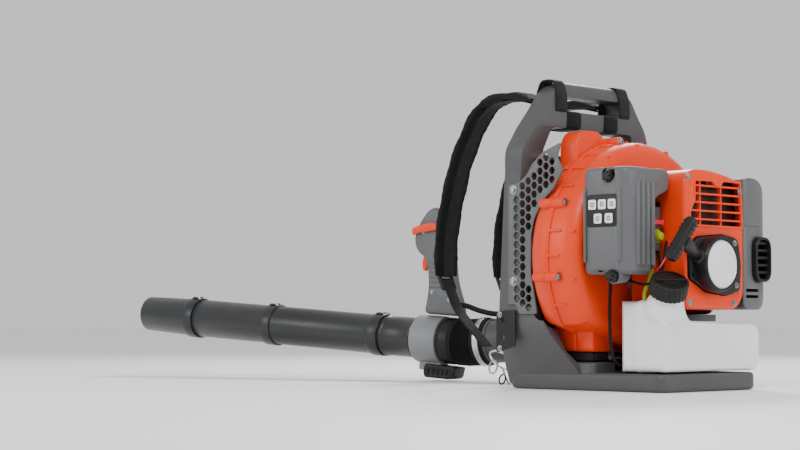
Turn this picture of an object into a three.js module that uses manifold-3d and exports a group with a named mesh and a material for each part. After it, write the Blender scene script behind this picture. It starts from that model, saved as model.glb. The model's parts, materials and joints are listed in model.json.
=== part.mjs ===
// Backpack leaf blower with a two-stroke engine, in millimetres.
// +X is the wearer's right, +Y is forward (the way the blow tube points) and +Z is up.
// The origin lies on the ground under the middle of the frame's base, and the crank axis
// is parallel to Y at X = 0.
import * as THREE from "three";
import { mergeVertices } from "three/addons/utils/BufferGeometryUtils.js";
import Module from "manifold-3d";

const wasm = await Module();
wasm.setup();

// ---- Driving dimensions ----
const GAP = 0.3;
const CRANK_Z = 200;

const BASE = { half: 125, rear: -150, front: 175, top: 28, corner: 24 };
const FRAME = { half: 161.5, rib: 25, plate: 8, recess: 6 };
const HANDLE_BAR = { top: 508, windowHigh: 484, windowLow: 458, windowHalf: 80 };

const SCROLL = { x: 3, z: 214, radius: 190, floorRadius: 138, outletZ: 122, outletLeft: 108, wall: 3 };
const FAN_REAR = -24;
const FAN_PARTING = 33;
const FAN_FRONT = 84;

const DUCT = { x: 152, z: 78, outer: 40, inner: 37 };
const PIVOT = [98.4, 472.6, 71];
const TUBE = { heading: 12, pitch: 4.1, outer: 37.5, inner: 35.3 };
const ELBOW_PITCH = -3;

const STROKE = 35;
const CYLINDER_Y = -60;
const COVER = { rear: -145, front: -38, wall: 3 };
const STARTER = { radius: 44, rear: -172, front: -126 };
const PULL = new THREE.Vector3(-0.9, -0.22, 0.37).normalize();
const ROPE_EXIT = [-50, -158, 214];
const GRIP_MIDDLE = [-103, -171, 235];

const FILTER = { left: -173, right: -106, rear: -119, front: -26, low: 183, high: 350 };
const CAP = { centre: [-108, -148, 163], radius: 30.5, height: 26, axis: [-0.3, -0.45, 0.84] };
const STRAP = { x: 85, pad: 54, padThick: 13, web: 25, webThick: 3 };

// ---- Finishes: colour, roughness, metalness ----
const FINISH = {
  frame_plastic: [0x5f6062, 0.55, 0],
  grey_plastic: [0x7d7f81, 0.5, 0],
  light_grey_plastic: [0x9a9c9e, 0.5, 0],
  black_plastic: [0x1d1e20, 0.45, 0],
  orange_plastic: [0xf4570f, 0.4, 0],
  tube_plastic: [0x3d3f41, 0.4, 0],
  rubber: [0x18191a, 0.85, 0],
  fabric: [0x17181a, 0.95, 0],
  webbing: [0x121214, 0.9, 0],
  tank_plastic: [0xe9ebec, 0.35, 0],
  fuel_line: [0xb5c212, 0.35, 0],
  red_plastic: [0xd0103a, 0.35, 0],
  cast_aluminium: [0xa8abad, 0.5, 0.9],
  steel: [0xb9bcc0, 0.3, 1],
  filter_paper: [0xd8c9a0, 0.95, 0],
  ceramic: [0xf3f1ea, 0.25, 0],
};

// ---- Making solids ----
const AXES_X = new THREE.Matrix4().set(0, 0, 1, 0, 1, 0, 0, 0, 0, 1, 0, 0, 0, 0, 0, 1);
const radians = THREE.MathUtils.degToRad;

// A cap's triangles can leave out a point that lies almost on an edge: fill such hairline cracks.
function closeCracks(triangles) {
  const edges = new Map();
  triangles.forEach(([a, b, c]) => {
    [[a, b], [b, c], [c, a]].forEach(([p, q]) => edges.set(`${p} ${q}`, [p, q]));
  });
  const onward = new Map();
  edges.forEach(([p, q]) => {
    if (!edges.has(`${q} ${p}`)) onward.set(q, p);
  });
  while (onward.size) {
    const loop = [];
    let at = onward.keys().next().value;
    while (onward.has(at)) {
      const next = onward.get(at);
      onward.delete(at);
      loop.push(at);
      at = next;
    }
    for (let i = 2; i < loop.length; i += 1) triangles.push([loop[0], loop[i - 1], loop[i]]);
  }
}

// A closed three.js geometry as a solid, with its faces turned outward.
function solid(geometry) {
  const bare = geometry.clone();
  bare.deleteAttribute("normal");
  bare.deleteAttribute("uv");
  const merged = mergeVertices(bare, 1e-4);
  const p = merged.attributes.position.array;
  const triangles = [];
  let volume = 0;
  for (let i = 0; i < merged.index.count; i += 3) {
    const [a, b, c] = merged.index.array.subarray(i, i + 3);
    if (a === b || b === c || c === a) continue;
    triangles.push([a, b, c]);
    const u = new THREE.Vector3().fromArray(p, 3 * a);
    const v = new THREE.Vector3().fromArray(p, 3 * b);
    const w = new THREE.Vector3().fromArray(p, 3 * c);
    volume += u.dot(v.cross(w));
  }
  closeCracks(triangles);
  if (volume < 0) triangles.forEach((t) => t.reverse());
  const mesh = { numProp: 3, vertProperties: p, triVerts: Uint32Array.from(triangles.flat()) };
  return new wasm.Manifold(new wasm.Mesh(mesh));
}

function union(solids) {
  return solids.reduce((all, one) => all.add(one));
}

// An outline through points, with its corners rounded by arcs of about the given radius.
function outline(points, radius = 0) {
  const corners = points.map(([x, y]) => new THREE.Vector2(x, y));
  if (!radius) return new THREE.Shape(corners);
  const shape = new THREE.Shape();
  corners.forEach((corner, i) => {
    const before = corners.at(i - 1);
    const after = corners[(i + 1) % corners.length];
    const back = Math.min(radius, 0.45 * corner.distanceTo(before));
    const ahead = Math.min(radius, 0.45 * corner.distanceTo(after));
    const start = before.clone().sub(corner).setLength(back).add(corner);
    const end = after.clone().sub(corner).setLength(ahead).add(corner);
    if (i === 0) shape.moveTo(start.x, start.y);
    else shape.lineTo(start.x, start.y);
    shape.quadraticCurveTo(corner.x, corner.y, end.x, end.y);
  });
  return shape;
}

function rectangle(x0, x1, y0, y1, radius = 0) {
  return outline([[x0, y0], [x1, y0], [x1, y1], [x0, y1]], radius);
}

// The same points moved inward by a distance, for the inside of a shell.
function inset(points, distance) {
  const corners = points.map(([x, y]) => new THREE.Vector2(x, y));
  const turn = THREE.ShapeUtils.area(corners) > 0 ? 1 : -1;
  return corners.map((corner, i) => {
    const a = corner.clone().sub(corners.at(i - 1)).normalize();
    const b = corners[(i + 1) % corners.length].clone().sub(corner).normalize();
    const normal = new THREE.Vector2(-(a.y + b.y), a.x + b.x).normalize();
    const spread = Math.max(0.4, normal.dot(new THREE.Vector2(-a.y, a.x)));
    return [corner.x + turn * normal.x * distance / spread, corner.y + turn * normal.y * distance / spread];
  });
}

function extrude(shape, length, bevel, detail) {
  const [thickness, size, steps] = bevel;
  const geometry = new THREE.ExtrudeGeometry(shape, {
    depth: length - 2 * thickness,
    curveSegments: detail,
    bevelEnabled: thickness > 0,
    bevelThickness: thickness,
    bevelSize: size,
    bevelOffset: -size,
    bevelSegments: steps,
  });
  return geometry.translate(0, 0, thickness);
}

// Prisms along each axis. A bevel is [along the axis, across it, steps].
const SHARP = [0, 0, 1];

function prismX(shape, x0, x1, bevel = SHARP, detail = 3) {
  return solid(extrude(shape, x1 - x0, bevel, detail).applyMatrix4(AXES_X).translate(x0, 0, 0));
}

function prismY(shape, y0, y1, bevel = SHARP, detail = 3) {
  return solid(extrude(shape, y1 - y0, bevel, detail).rotateX(Math.PI / 2).translate(0, y1, 0));
}

function prismZ(shape, z0, z1, bevel = SHARP, detail = 3) {
  return solid(extrude(shape, z1 - z0, bevel, detail).translate(0, 0, z0));
}

// A cylinder or cone between two points.
function rod(from, to, radius, sides = 20, endRadius = radius) {
  const a = new THREE.Vector3(...from);
  const b = new THREE.Vector3(...to);
  const way = b.clone().sub(a);
  const geometry = new THREE.CylinderGeometry(endRadius, radius, way.length(), sides);
  const turn = new THREE.Quaternion().setFromUnitVectors(new THREE.Vector3(0, 1, 0), way.normalize());
  geometry.applyQuaternion(turn).translate(...a.add(b).multiplyScalar(0.5).toArray());
  return solid(geometry);
}

function rodY(x, z, y0, y1, radius, sides = 20, endRadius = radius) {
  return rod([x, y0, z], [x, y1, z], radius, sides, endRadius);
}

function ringY(x, z, y0, y1, outer, inner, sides = 28) {
  return rodY(x, z, y0, y1, outer, sides).subtract(rodY(x, z, y0 - 1, y1 + 1, inner, sides));
}

function box(x0, x1, y0, y1, z0, z1) {
  const geometry = new THREE.BoxGeometry(x1 - x0, y1 - y0, z1 - z0);
  return solid(geometry.translate((x0 + x1) / 2, (y0 + y1) / 2, (z0 + z1) / 2));
}

// A solid turned about Y: profile points are [radius, y].
function turnedY(profile, sides = 28) {
  return solid(new THREE.LatheGeometry(profile.map(([r, y]) => new THREE.Vector2(r, y)), sides));
}

// A round tube or cord along a smooth curve through points.
function along(points, radius, sides = 8, steps = 24) {
  const ring = [];
  for (let i = 0; i < sides; i += 1) {
    const angle = 2 * Math.PI * i / sides;
    ring.push([radius * Math.cos(angle), radius * Math.sin(angle)]);
  }
  const path = new THREE.CatmullRomCurve3(points.map((p) => new THREE.Vector3(...p)));
  return solid(new THREE.ExtrudeGeometry(outline(ring), { steps, extrudePath: path, bevelEnabled: false }));
}

// A flat ribbon seen from the side: its outline in the (y, z) plane.
function ribbon(points, thickness, steps) {
  const path = new THREE.CatmullRomCurve3(points.map(([y, z]) => new THREE.Vector3(y, z, 0)));
  const near = [];
  const far = [];
  for (let i = 0; i <= steps; i += 1) {
    const at = path.getPointAt(i / steps);
    const way = path.getTangentAt(i / steps);
    near.push([at.x - way.y * thickness / 2, at.y + way.x * thickness / 2]);
    far.push([at.x + way.y * thickness / 2, at.y - way.x * thickness / 2]);
  }
  return outline([...near, ...far.reverse()]);
}

// ---- The assembly ----
const blower = new THREE.Group();
blower.name = "leaf_blower";

// The hose end and the tube lie in turned frames, with Y along the tube.
function turnedGroup(pitch) {
  const group = new THREE.Group();
  group.position.set(...PIVOT);
  group.rotation.set(radians(pitch), 0, radians(TUBE.heading), "ZXY");
  group.updateMatrixWorld();
  blower.add(group);
  return group;
}
const tubeGroup = turnedGroup(TUBE.pitch);
const elbowGroup = turnedGroup(ELBOW_PITCH);

// A solid made in a turned frame, brought into the blower's frame.
function placed(manifold, group) {
  return solid(geometryOf(manifold).applyMatrix4(group.matrixWorld));
}

function geometryOf(manifold) {
  const mesh = manifold.getMesh();
  const geometry = new THREE.BufferGeometry();
  geometry.setAttribute("position", new THREE.BufferAttribute(mesh.vertProperties, mesh.numProp));
  geometry.setIndex(new THREE.BufferAttribute(mesh.triVerts, 1));
  return geometry;
}

function add(name, manifold, finish, group = blower) {
  const [color, roughness, metalness] = FINISH[finish];
  const geometry = geometryOf(manifold);
  geometry.computeVertexNormals();
  const mesh = new THREE.Mesh(geometry, new THREE.MeshStandardMaterial({ color, roughness, metalness }));
  mesh.name = name;
  group.add(mesh);
}

// ---- Fan housing: a growing scroll whose outlet goes down on the right ----
function scrollPoints(depth) {
  const low = SCROLL.outletZ - (depth > 0 ? 8 : 0);
  const right = SCROLL.x + SCROLL.radius - depth;
  const points = [[right, low]];
  for (let i = 0; i <= 15; i += 1) {
    const angle = radians(215 * i / 15);
    const radius = SCROLL.radius - depth;
    points.push([SCROLL.x + radius * Math.cos(angle), SCROLL.z + radius * Math.sin(angle)]);
  }
  for (let i = 0; i <= 4; i += 1) {
    const angle = radians(250 + 15 * i);
    const radius = SCROLL.floorRadius - depth;
    points.push([radius * Math.cos(angle), CRANK_Z + radius * Math.sin(angle)]);
  }
  points.push([SCROLL.outletLeft + depth, SCROLL.outletZ]);
  if (depth > 0) points.push([SCROLL.outletLeft + depth, low]);
  return points;
}

const FRONT_BEVEL = [45, 32, 2];
const REAR_BEVEL = [30, 22, 2];

function scrollFront(depth) {
  return prismY(outline(scrollPoints(depth)), FAN_FRONT - 120, FAN_FRONT - depth, FRONT_BEVEL);
}

function scrollRear(depth) {
  return prismY(outline(scrollPoints(depth)), FAN_REAR + depth, FAN_REAR + 120, REAR_BEVEL);
}

function beyond(y) {
  return box(-300, 300, y, 400, -50, 600);
}

// What stands out of the scroll: flange lugs, two legs, the tower at the top front.
const LUG_ANGLES = [24, 62, 100, 154, 190];

function fanFittings() {
  const lugs = LUG_ANGLES.map((degrees) => {
    const angle = radians(degrees);
    const x = SCROLL.x + (SCROLL.radius + 3) * Math.cos(angle);
    const z = SCROLL.z + (SCROLL.radius + 3) * Math.sin(angle);
    return rodY(x, z, 10, 58, 8, 8);
  });
  const leftLeg = prismY(outline([[-116, 61], [-68, 61], [-62, 104], [-126, 108]], 10), -2, 80, [3, 3, 1], 2);
  const rightLeg = prismY(outline([[46, 61], [98, 61], [92, 100], [40, 100]], 10), -2, 80, [3, 3, 1], 2);
  return { lugs: union(lugs), legs: leftLeg.add(rightLeg) };
}

function addFanHousing() {
  const { lugs, legs } = fanFittings();
  const tower = prismY(outline([[-98, 340], [-20, 372], [-26, 416], [-44, 424], [-84, 422], [-98, 404]], 12),
    46, 82, [4, 4, 1], 2);
  const wall = SCROLL.wall;
  const inside = scrollFront(wall);
  const front = union([scrollFront(0), lugs, legs, tower])
    .subtract(inside)
    .subtract(box(-300, 300, -200, FAN_PARTING + GAP / 2, -50, 600))
    .subtract(rodY(0, CRANK_Z, 60, 100, 74, 24));
  const rear = union([scrollRear(0), lugs, legs])
    .subtract(scrollRear(wall))
    .subtract(beyond(FAN_PARTING - GAP / 2))
    .subtract(rodY(0, CRANK_Z, -60, 0, 20, 14));
  add("fan_housing_front", front, "orange_plastic");
  add("fan_housing_rear", rear, "orange_plastic");

  const bars = [0, 90].map((degrees) => {
    const bar = new THREE.BoxGeometry(150, 3, 5).rotateY(radians(degrees));
    return solid(bar.translate(0, FAN_FRONT + 2, CRANK_Z));
  });
  const rims = [[80, 72], [44, 38]].map(([outer, inner]) =>
    ringY(0, CRANK_Z, FAN_FRONT + 0.5, FAN_FRONT + 3.5, outer, inner, 16));
  add("inlet_screen", union([...bars, ...rims]), "black_plastic");
}

// ---- Frame: base tray, leaning back frame with the carrying handle ----
const FRONT_LINE = [[175, 28], [161, 96], [147, 337], [134, 440], [129, 490]];

function frontAt(z) {
  const i = Math.max(1, FRONT_LINE.findIndex((p) => p[1] >= z));
  const [y0, z0] = FRONT_LINE[i - 1];
  const [y1, z1] = FRONT_LINE[i];
  return y0 + (y1 - y0) * (z - z0) / (z1 - z0);
}

// Everything behind a surface that follows the frame's front at a depth.
function behindFront(depth) {
  const line = FRONT_LINE.map(([y, z]) => [y - depth, z]);
  return outline([[-200, 20], [line[0][0], 20], ...line, [line.at(-1)[0], 600], [-200, 600]]);
}

function addFrame() {
  const base = prismZ(rectangle(-BASE.half, BASE.half, BASE.rear, BASE.front, BASE.corner), 0, BASE.top,
    [6, 6, 1], 4);
  const decks = [[-122, -62], [40, 104]].map(([x0, x1]) =>
    prismZ(rectangle(x0, x1, -8, 86, 12), BASE.top - 8, 44.7, [5, 5, 1], 2));

  const half = FRAME.half;
  const sides = [[117, 4], [BASE.half, 26], [half - 6, 84], [half, 100], [half, 352], [half + 4, 376],
    [half + 4, 392], [143, 430], [119, 460], [101, 488], [84, HANDLE_BAR.top - 3], [60, HANDLE_BAR.top]];
  const face = outline([...sides, ...sides.toReversed().map(([x, z]) => [-x, z])], 9);
  const window = rectangle(-HANDLE_BAR.windowHalf, HANDLE_BAR.windowHalf, HANDLE_BAR.windowLow,
    HANDLE_BAR.windowHigh, 12);
  const lowerWindow = outline([[-118, 384], [118, 384], [104, 430], [-104, 430]], 12);
  face.holes.push(window, lowerWindow);
  const profile = outline([[175, 4], ...FRONT_LINE, [120, HANDLE_BAR.top], [100, HANDLE_BAR.top], [91, 492],
    [90, 440], [103, 388], [113, 337], [116, 140], [72, 128], [48, 82], [20, 30], [20, 4]], 8);
  const panel = prismY(face, 0, 200, SHARP, 2).intersect(prismX(profile, -200, 200, SHARP, 2));

  const ribInner = (margin) => outline([[-half + margin, 62], [-half + margin, 376], [-118, 376], [118, 376],
    [half - margin, 376], [half - margin, 62], [BASE.half - margin + 6, 30], [-BASE.half + margin - 6, 30]]);
  const rearPocket = prismY(ribInner(FRAME.rib), -10, 200)
    .intersect(prismX(behindFront(FRAME.recess + FRAME.plate), -300, 300));
  const frontPocket = prismY(rectangle(-122, 122, 146, 378, 10), 100, 220, SHARP, 2)
    .subtract(prismX(behindFront(FRAME.recess), -300, 300));
  const ductNotch = rodY(DUCT.x, DUCT.z, 0, 260, DUCT.outer + 5, 20);
  const cableHole = rodY(100, 137, 100, 200, 7, 10);
  const flangeRoom = box(104, 200, -22, 74, 105, 126);
  const boss = rod([-136, 62, 98], [-100, 62, 98], 11, 14);

  const frame = union([base, ...decks, panel.subtract(rearPocket).subtract(frontPocket)])
    .subtract(boss)
    .subtract(ductNotch)
    .subtract(cableHole)
    .subtract(flangeRoom)
    .subtract(prismY(outline(scrollPoints(-4)), -40, FAN_FRONT + 4, [20, 14, 1]));
  add("frame", frame, "frame_plastic");

  const bracketFace = outline([[118, 70], [160.5, 58], [160.5, 126], [118, 130]], 4);
  const bracket = [84, 112].reduce((plate, z) => plate.subtract(rod([-180, 145, z], [-150, 145, z], 4, 12)),
    prismX(bracketFace, -half - 6.4, -half - 4));
  add("harness_bracket", bracket, "black_plastic");
}

// ---- Side grilles: hexagonal mesh panels between the frame and the fan ----
const GRILLE_FRONT = [[114, 122], [119, 138], [136, 138], [136, 333], [112, 336], [95, 348], [82, 366],
  [60, 383], [22, 396], [30, 374], [18, 351], [38, 322]];
const GRILLE_LEFT = [...GRILLE_FRONT, [60, 304], [79, 276], [86, 250], [87, 186], [81, 160], [74, 122]];
const GRILLE_RIGHT = [...GRILLE_FRONT.slice(0, 8), [52, 378], [44, 352], [52, 322], [72, 304], [85, 276],
  [89, 250], [89, 122]];
const HEX_PITCH = 19;
const HEX_ACROSS = 15.4;

function insideOutline(points, y, z, margin) {
  const ring = [0, 60, 120, 180, 240, 300].map((a) =>
    [y + margin * Math.cos(radians(a)), z + margin * Math.sin(radians(a))]);
  return ring.every(([py, pz]) => {
    let inside = false;
    points.forEach(([y1, z1], i) => {
      const [y0, z0] = points.at(i - 1);
      if ((z0 > pz) !== (z1 > pz) && py < (y1 - y0) * (pz - z0) / (z1 - z0) + y0) inside = !inside;
    });
    return inside;
  });
}

function grille(points, x0, x1) {
  const edge = outline(points, 4);
  const bolts = [[124, 324], [124, 175]];
  for (let row = 0; row < 24; row += 1) {
    for (let column = 0; column < 12; column += 1) {
      const y = 20 + HEX_PITCH * 0.866 * column;
      const z = 120 + HEX_PITCH * (row + (column % 2) / 2);
      const nearBolt = bolts.some(([by, bz]) => Math.hypot(by - y, bz - z) < 17);
      if (nearBolt || !insideOutline(points, y, z, 12)) continue;
      const corners = [0, 60, 120, 180, 240, 300].map((a) => [
        y + HEX_ACROSS / 1.732 * Math.cos(radians(a)),
        z + HEX_ACROSS / 1.732 * Math.sin(radians(a)),
      ]);
      edge.holes.push(outline(corners.reverse()));
    }
  }
  return prismX(edge, x0, x1, SHARP, 1);
}

function addGrilles() {
  const inner = FRAME.half + GAP;
  add("grille_left", grille(GRILLE_LEFT, -inner - 3.5, -inner), "grey_plastic");
  add("grille_right", grille(GRILLE_RIGHT, inner, inner + 3.5), "grey_plastic");
}

// ---- Harness ----
const PAD_PATH = [[134, 478], [181, 489], [231, 487], [268, 465], [297, 424], [319, 382], [335, 335],
  [348, 287], [355, 235], [355, 189]];
const WEB_PATH = [[354.5, 184], [342, 160], [322, 127], [279, 87], [258, 68]];

function addHarness() {
  [["left", -STRAP.x, 0], ["right", STRAP.x - 6, 14]].forEach(([side, x, reach]) => {
    const padPath = PAD_PATH.map(([y, z]) => [y + reach * Math.min(1, (y - 134) / 100), z]);
    const webPath = WEB_PATH.map(([y, z]) => [y + reach, z]);
    const pad = prismX(ribbon(padPath, STRAP.padThick, 13), x - STRAP.pad / 2, x + STRAP.pad / 2, [3, 3, 1]);
    const web = prismX(ribbon(webPath, STRAP.webThick, 8), x - STRAP.web / 2, x + STRAP.web / 2);
    const hook = new THREE.TorusGeometry(15, 2.2, 5, 12).scale(2.1, 0.8, 1).rotateX(Math.PI / 2)
      .rotateZ(Math.PI / 2).rotateX(radians(22)).translate(x, 221 + reach, 44);
    add(`strap_pad_${side}`, pad, "fabric");
    add(`strap_webbing_${side}`, web, "webbing");
    add(`strap_hook_${side}`, solid(hook), "steel");
  });
  const padFace = outline([...[152, 337, 372].map((z) => [frontAt(z) - 5.6, z]),
    ...[366, 337, 158].map((z) => [frontAt(z) + 17, z])], 9);
  add("back_pad", prismX(padFace, -114, 114, [4, 4, 1]), "fabric");
}

// ---- Outlet elbow and the hose end of the air path ----
function elbowPath() {
  const bend = DUCT.z + 49;
  const arc = [];
  for (let i = 0; i <= 4; i += 1) {
    const angle = radians(90 * i / 4);
    arc.push([DUCT.x, 74 - 49 * Math.cos(angle), bend - 49 * Math.sin(angle)]);
  }
  const end = new THREE.Vector3(0, -26, 0).applyMatrix4(elbowGroup.matrixWorld);
  const before = new THREE.Vector3(0, -120, 0).applyMatrix4(elbowGroup.matrixWorld);
  return [...arc, [DUCT.x, 140, DUCT.z], [151, 205, 79.5], before.toArray(), end.toArray()];
}

function addAirPath() {
  const path = elbowPath();
  const end = new THREE.Vector3(0, -16, 0).applyMatrix4(elbowGroup.matrixWorld).toArray();
  const flange = prismZ(rectangle(107, 197, -18, 70, 8), SCROLL.outletZ - 12, SCROLL.outletZ - GAP);
  const top = [[DUCT.x, 25, 140], ...path, end];
  const elbow = flange.add(along(path, DUCT.outer, 16, 10))
    .subtract(along(top, DUCT.inner, 16, 10))
    .subtract(box(90, 220, -40, 90, SCROLL.outletZ - GAP, 200));
  add("outlet_elbow", elbow, "frame_plastic");

  // The corrugated hose: a cuff on the elbow, folds about the pivot and a cuff on the tube.
  const rearFolds = turnedY([[0, -48], [43.5, -48], [43.5, -22], [40, -19], [44, -13], [40, -6], [44, 0],
    [0, 0]], 20);
  const frontFolds = turnedY([[0, -1], [43, -1], [40, 6], [44, 13], [41, 19], [41, 46], [0, 46]], 20);
  const rearBore = turnedY([[0, -60], [DUCT.outer + 1, -60], [DUCT.outer + 1, -25.5], [37, -24], [37, 1],
    [0, 1]], 20);
  const frontBore = turnedY([[0, -2], [37, -2], [37, 16], [TUBE.outer + GAP, 17.5], [TUBE.outer + GAP, 60],
    [0, 60]], 20);
  const bellows = placed(rearFolds, elbowGroup).add(placed(frontFolds, tubeGroup))
    .subtract(placed(rearBore, elbowGroup))
    .subtract(placed(frontBore, tubeGroup));
  add("hose_bellows", bellows, "rubber");

  add("hose_clamp_rear", ringY(0, 0, -44, -31, 45.5, 43.5 + GAP, 20), "steel", elbowGroup);
  add("hose_clamp_front", ringY(0, 0, 24, 45, 43.5, 41 + GAP, 20), "black_plastic", tubeGroup);
}

// ---- Swivel pipe, blow tubes and nozzle: bayonet joints with a quarter-locked lug ----
const BAYONET = { length: 18, socket: 40.5, lugWide: 9, turn: 14 };
const TUBE_SIDES = 20;
const TUBE_JOINTS = [203, 459, 658];
const NOZZLE_END = 780;

// The locking lugs on a spigot that ends 18 mm inside the next socket.
function lugs(y, grow = 0) {
  return union([1, -1].map((side) => box(
    side > 0 ? 34 + 2 : -40 - grow,
    side > 0 ? 40 + grow : -34 - 2,
    y - 4 - grow,
    y + 4 + grow,
    -BAYONET.lugWide / 2 - grow,
    BAYONET.lugWide / 2 + grow,
  )));
}

// The slots that let the lugs turn by the locking angle.
function lugSlots(y) {
  const slots = [];
  for (let i = 0; i <= 1; i += 1) {
    const turn = new THREE.Matrix4().makeRotationY(radians(-BAYONET.turn * i));
    slots.push(solid(geometryOf(lugs(y, 0.6)).applyMatrix4(turn)));
  }
  return union(slots);
}

function tubePiece(start, end, hasSocket, hasLugs, endRadius = TUBE.outer) {
  const outer = TUBE.outer;
  let piece = rodY(0, 0, start, end, outer, TUBE_SIDES, endRadius);
  const wall = outer - TUBE.inner;
  let bore = rodY(0, 0, start - 1, end + 1, TUBE.inner, TUBE_SIDES, endRadius - wall);
  if (hasSocket) {
    // The flats of the socket's bore keep the clearance, so that the spigot can turn in it.
    const socketBore = (outer + GAP) / Math.cos(Math.PI / TUBE_SIDES);
    piece = piece.add(rodY(0, 0, start - BAYONET.length, start + 8, BAYONET.socket, TUBE_SIDES));
    bore = bore.add(rodY(0, 0, start - BAYONET.length - 1, start + 1, socketBore, TUBE_SIDES));
  }
  piece = piece.subtract(bore);
  if (hasLugs) piece = piece.add(lugs(end - 8).subtract(rodY(0, 0, end - 20, end + 2, TUBE.inner + 1, 20)));
  if (hasSocket) piece = piece.subtract(lugSlots(start - 8 - GAP));
  return piece;
}

function addTubes() {
  const [rear, middle, front] = TUBE_JOINTS;
  const swivel = tubePiece(18.5, rear, false, true)
    .add(ringY(0, 0, 47, 51.5, 43, 37, 20));
  add("swivel_pipe", swivel, "tube_plastic", tubeGroup);
  add("blow_tube_rear", tubePiece(rear + GAP, middle, true, true), "tube_plastic", tubeGroup);
  add("blow_tube_front", tubePiece(middle + GAP, front, true, true), "tube_plastic", tubeGroup);
  add("nozzle", tubePiece(front + GAP, NOZZLE_END, true, false, 34), "tube_plastic", tubeGroup);
}

// ---- Control handle on the swivel pipe ----
const GRIP_EDGE = [[18, 47], [20, 66], [38, 110], [45, 150], [49, 190], [55, 225], [66, 243], [82, 249],
  [100, 242],
  [119, 214], [127, 190], [123, 170], [112, 158], [100, 152], [93, 132], [89, 100], [91, 74], [96, 47]];
const TRIGGER_PIVOT = [95, 177];
const CRUISE_PIVOT = [79, 210];

function handleHalf(side) {
  const whole = prismX(outline(GRIP_EDGE), -18, 18, [6, 4, 1], 1);
  const cavity = prismX(outline(inset(GRIP_EDGE, 3.5)), -15, 15);
  const otherSide = side < 0 ? box(-GAP / 2, 40, 0, 200, 0, 300) : box(-40, GAP / 2, 0, 200, 0, 300);
  const triggerSlot = box(-6, 6, 76, 126, 120, 188);
  const pivotBoss = rod([side * 2.6, ...CRUISE_PIVOT], [side * 16, ...CRUISE_PIVOT], 6, 12);
  return whole.subtract(cavity).add(pivotBoss)
    .subtract(otherSide)
    .subtract(triggerSlot)
    .subtract(rod([0, 6, 71], [0, 36, 62], 6, 10))
    .subtract(rodY(0, 0, -10, 200, 44.5 + GAP, 20));
}

function addHandle() {
  add("handle_grip_left", handleHalf(-1), "grey_plastic", tubeGroup);
  add("handle_grip_right", handleHalf(1), "grey_plastic", tubeGroup);

  const ring = ringY(0, 0, 52, 108, 44.5, TUBE.outer + GAP, 20);
  const ears = prismY(rectangle(-14, 14, -58, -40, 4), 52, 100);
  const split = box(-1.5, 1.5, 50, 110, -60, -30);
  add("handle_clamp_ring", ring.add(ears).subtract(rodY(0, 0, 40, 120, TUBE.outer + GAP, 20)).subtract(split),
    "light_grey_plastic", tubeGroup);

  const footFace = outline([[16, -47], [20, -68], [30, -71], [84, -71], [88, -60], [84, -45.2]], 4);
  const foot = prismX(footFace, -19, 19, SHARP, 2)
    .subtract(prismY(rectangle(-14.5, 14.5, -58.5, -30), 51.5, 120))
    .subtract(rodY(0, 0, 0, 120, 45.2, 20));
  add("clamp_foot", foot, "black_plastic", tubeGroup);

  const [py, pz] = TRIGGER_PIVOT;
  const triggerFace = outline([[py - 5, pz + 4], [py + 2, pz + 6], [py + 7, pz], [109, 158], [113, 142],
    [110, 128], [104, 126], [100, 136], [97, 150], [91, 164]], 3);
  add("throttle_trigger", prismX(triggerFace, -5, 5, SHARP, 1), "orange_plastic", tubeGroup);

  const [cy, cz] = CRUISE_PIVOT;
  const leverFace = outline([[cy - 8, cz - 5], [cy - 4, cz + 8], [cy + 10, cz + 8], [cy + 34, cz + 2],
    [cy + 49, cz - 4], [cy + 47, cz - 18], [cy + 32, cz - 12], [cy + 8, cz - 8]], 4);
  add("cruise_lever", prismX(leverFace, -24, -18 - GAP, SHARP, 1), "orange_plastic", tubeGroup);
}

// The control sheath from the handle back to its hole in the frame.
const SHEATH_IN_TUBE_FRAME = [[0, 33, 63], [0, 16, 68], [0, -20, 60], [0, -57, 57]];
const SHEATH_TO_FRAME = [[108, 350, 128], [106, 290, 133], [102, 230, 138], [100, 190, 138], [100, 164, 137]];

function addControlLines() {
  const front = SHEATH_IN_TUBE_FRAME.map((p) =>
    new THREE.Vector3(...p).applyMatrix4(tubeGroup.matrixWorld).toArray());
  add("throttle_cable", along([...front, ...SHEATH_TO_FRAME], 5, 6, 20), "rubber");
  const inner = [[100, 138, 137], [98, 118, 100], [70, 106, 52], [10, 96, 40], [-30, 50, 38], [-34, -10, 38],
    [-70, -34, 36], [-104, -38, 46], [-116, -38, 80], [-120, -40, 130], [-122, -44, 178]];
  add("control_cable", along(inner, 2.6, 5, 22), "rubber");
}

// ---- Fuel tank ----
const TANK_EDGE = [[-121, 31], [128, 31], [135, 44], [135, 100], [118, 107], [-54, 111], [-68, 142],
  [-112, 142], [-121, 132]];

function capFrame(distance) {
  const way = new THREE.Vector3(...CAP.axis).normalize();
  return new THREE.Vector3(...CAP.centre).addScaledVector(way, distance).toArray();
}

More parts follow.
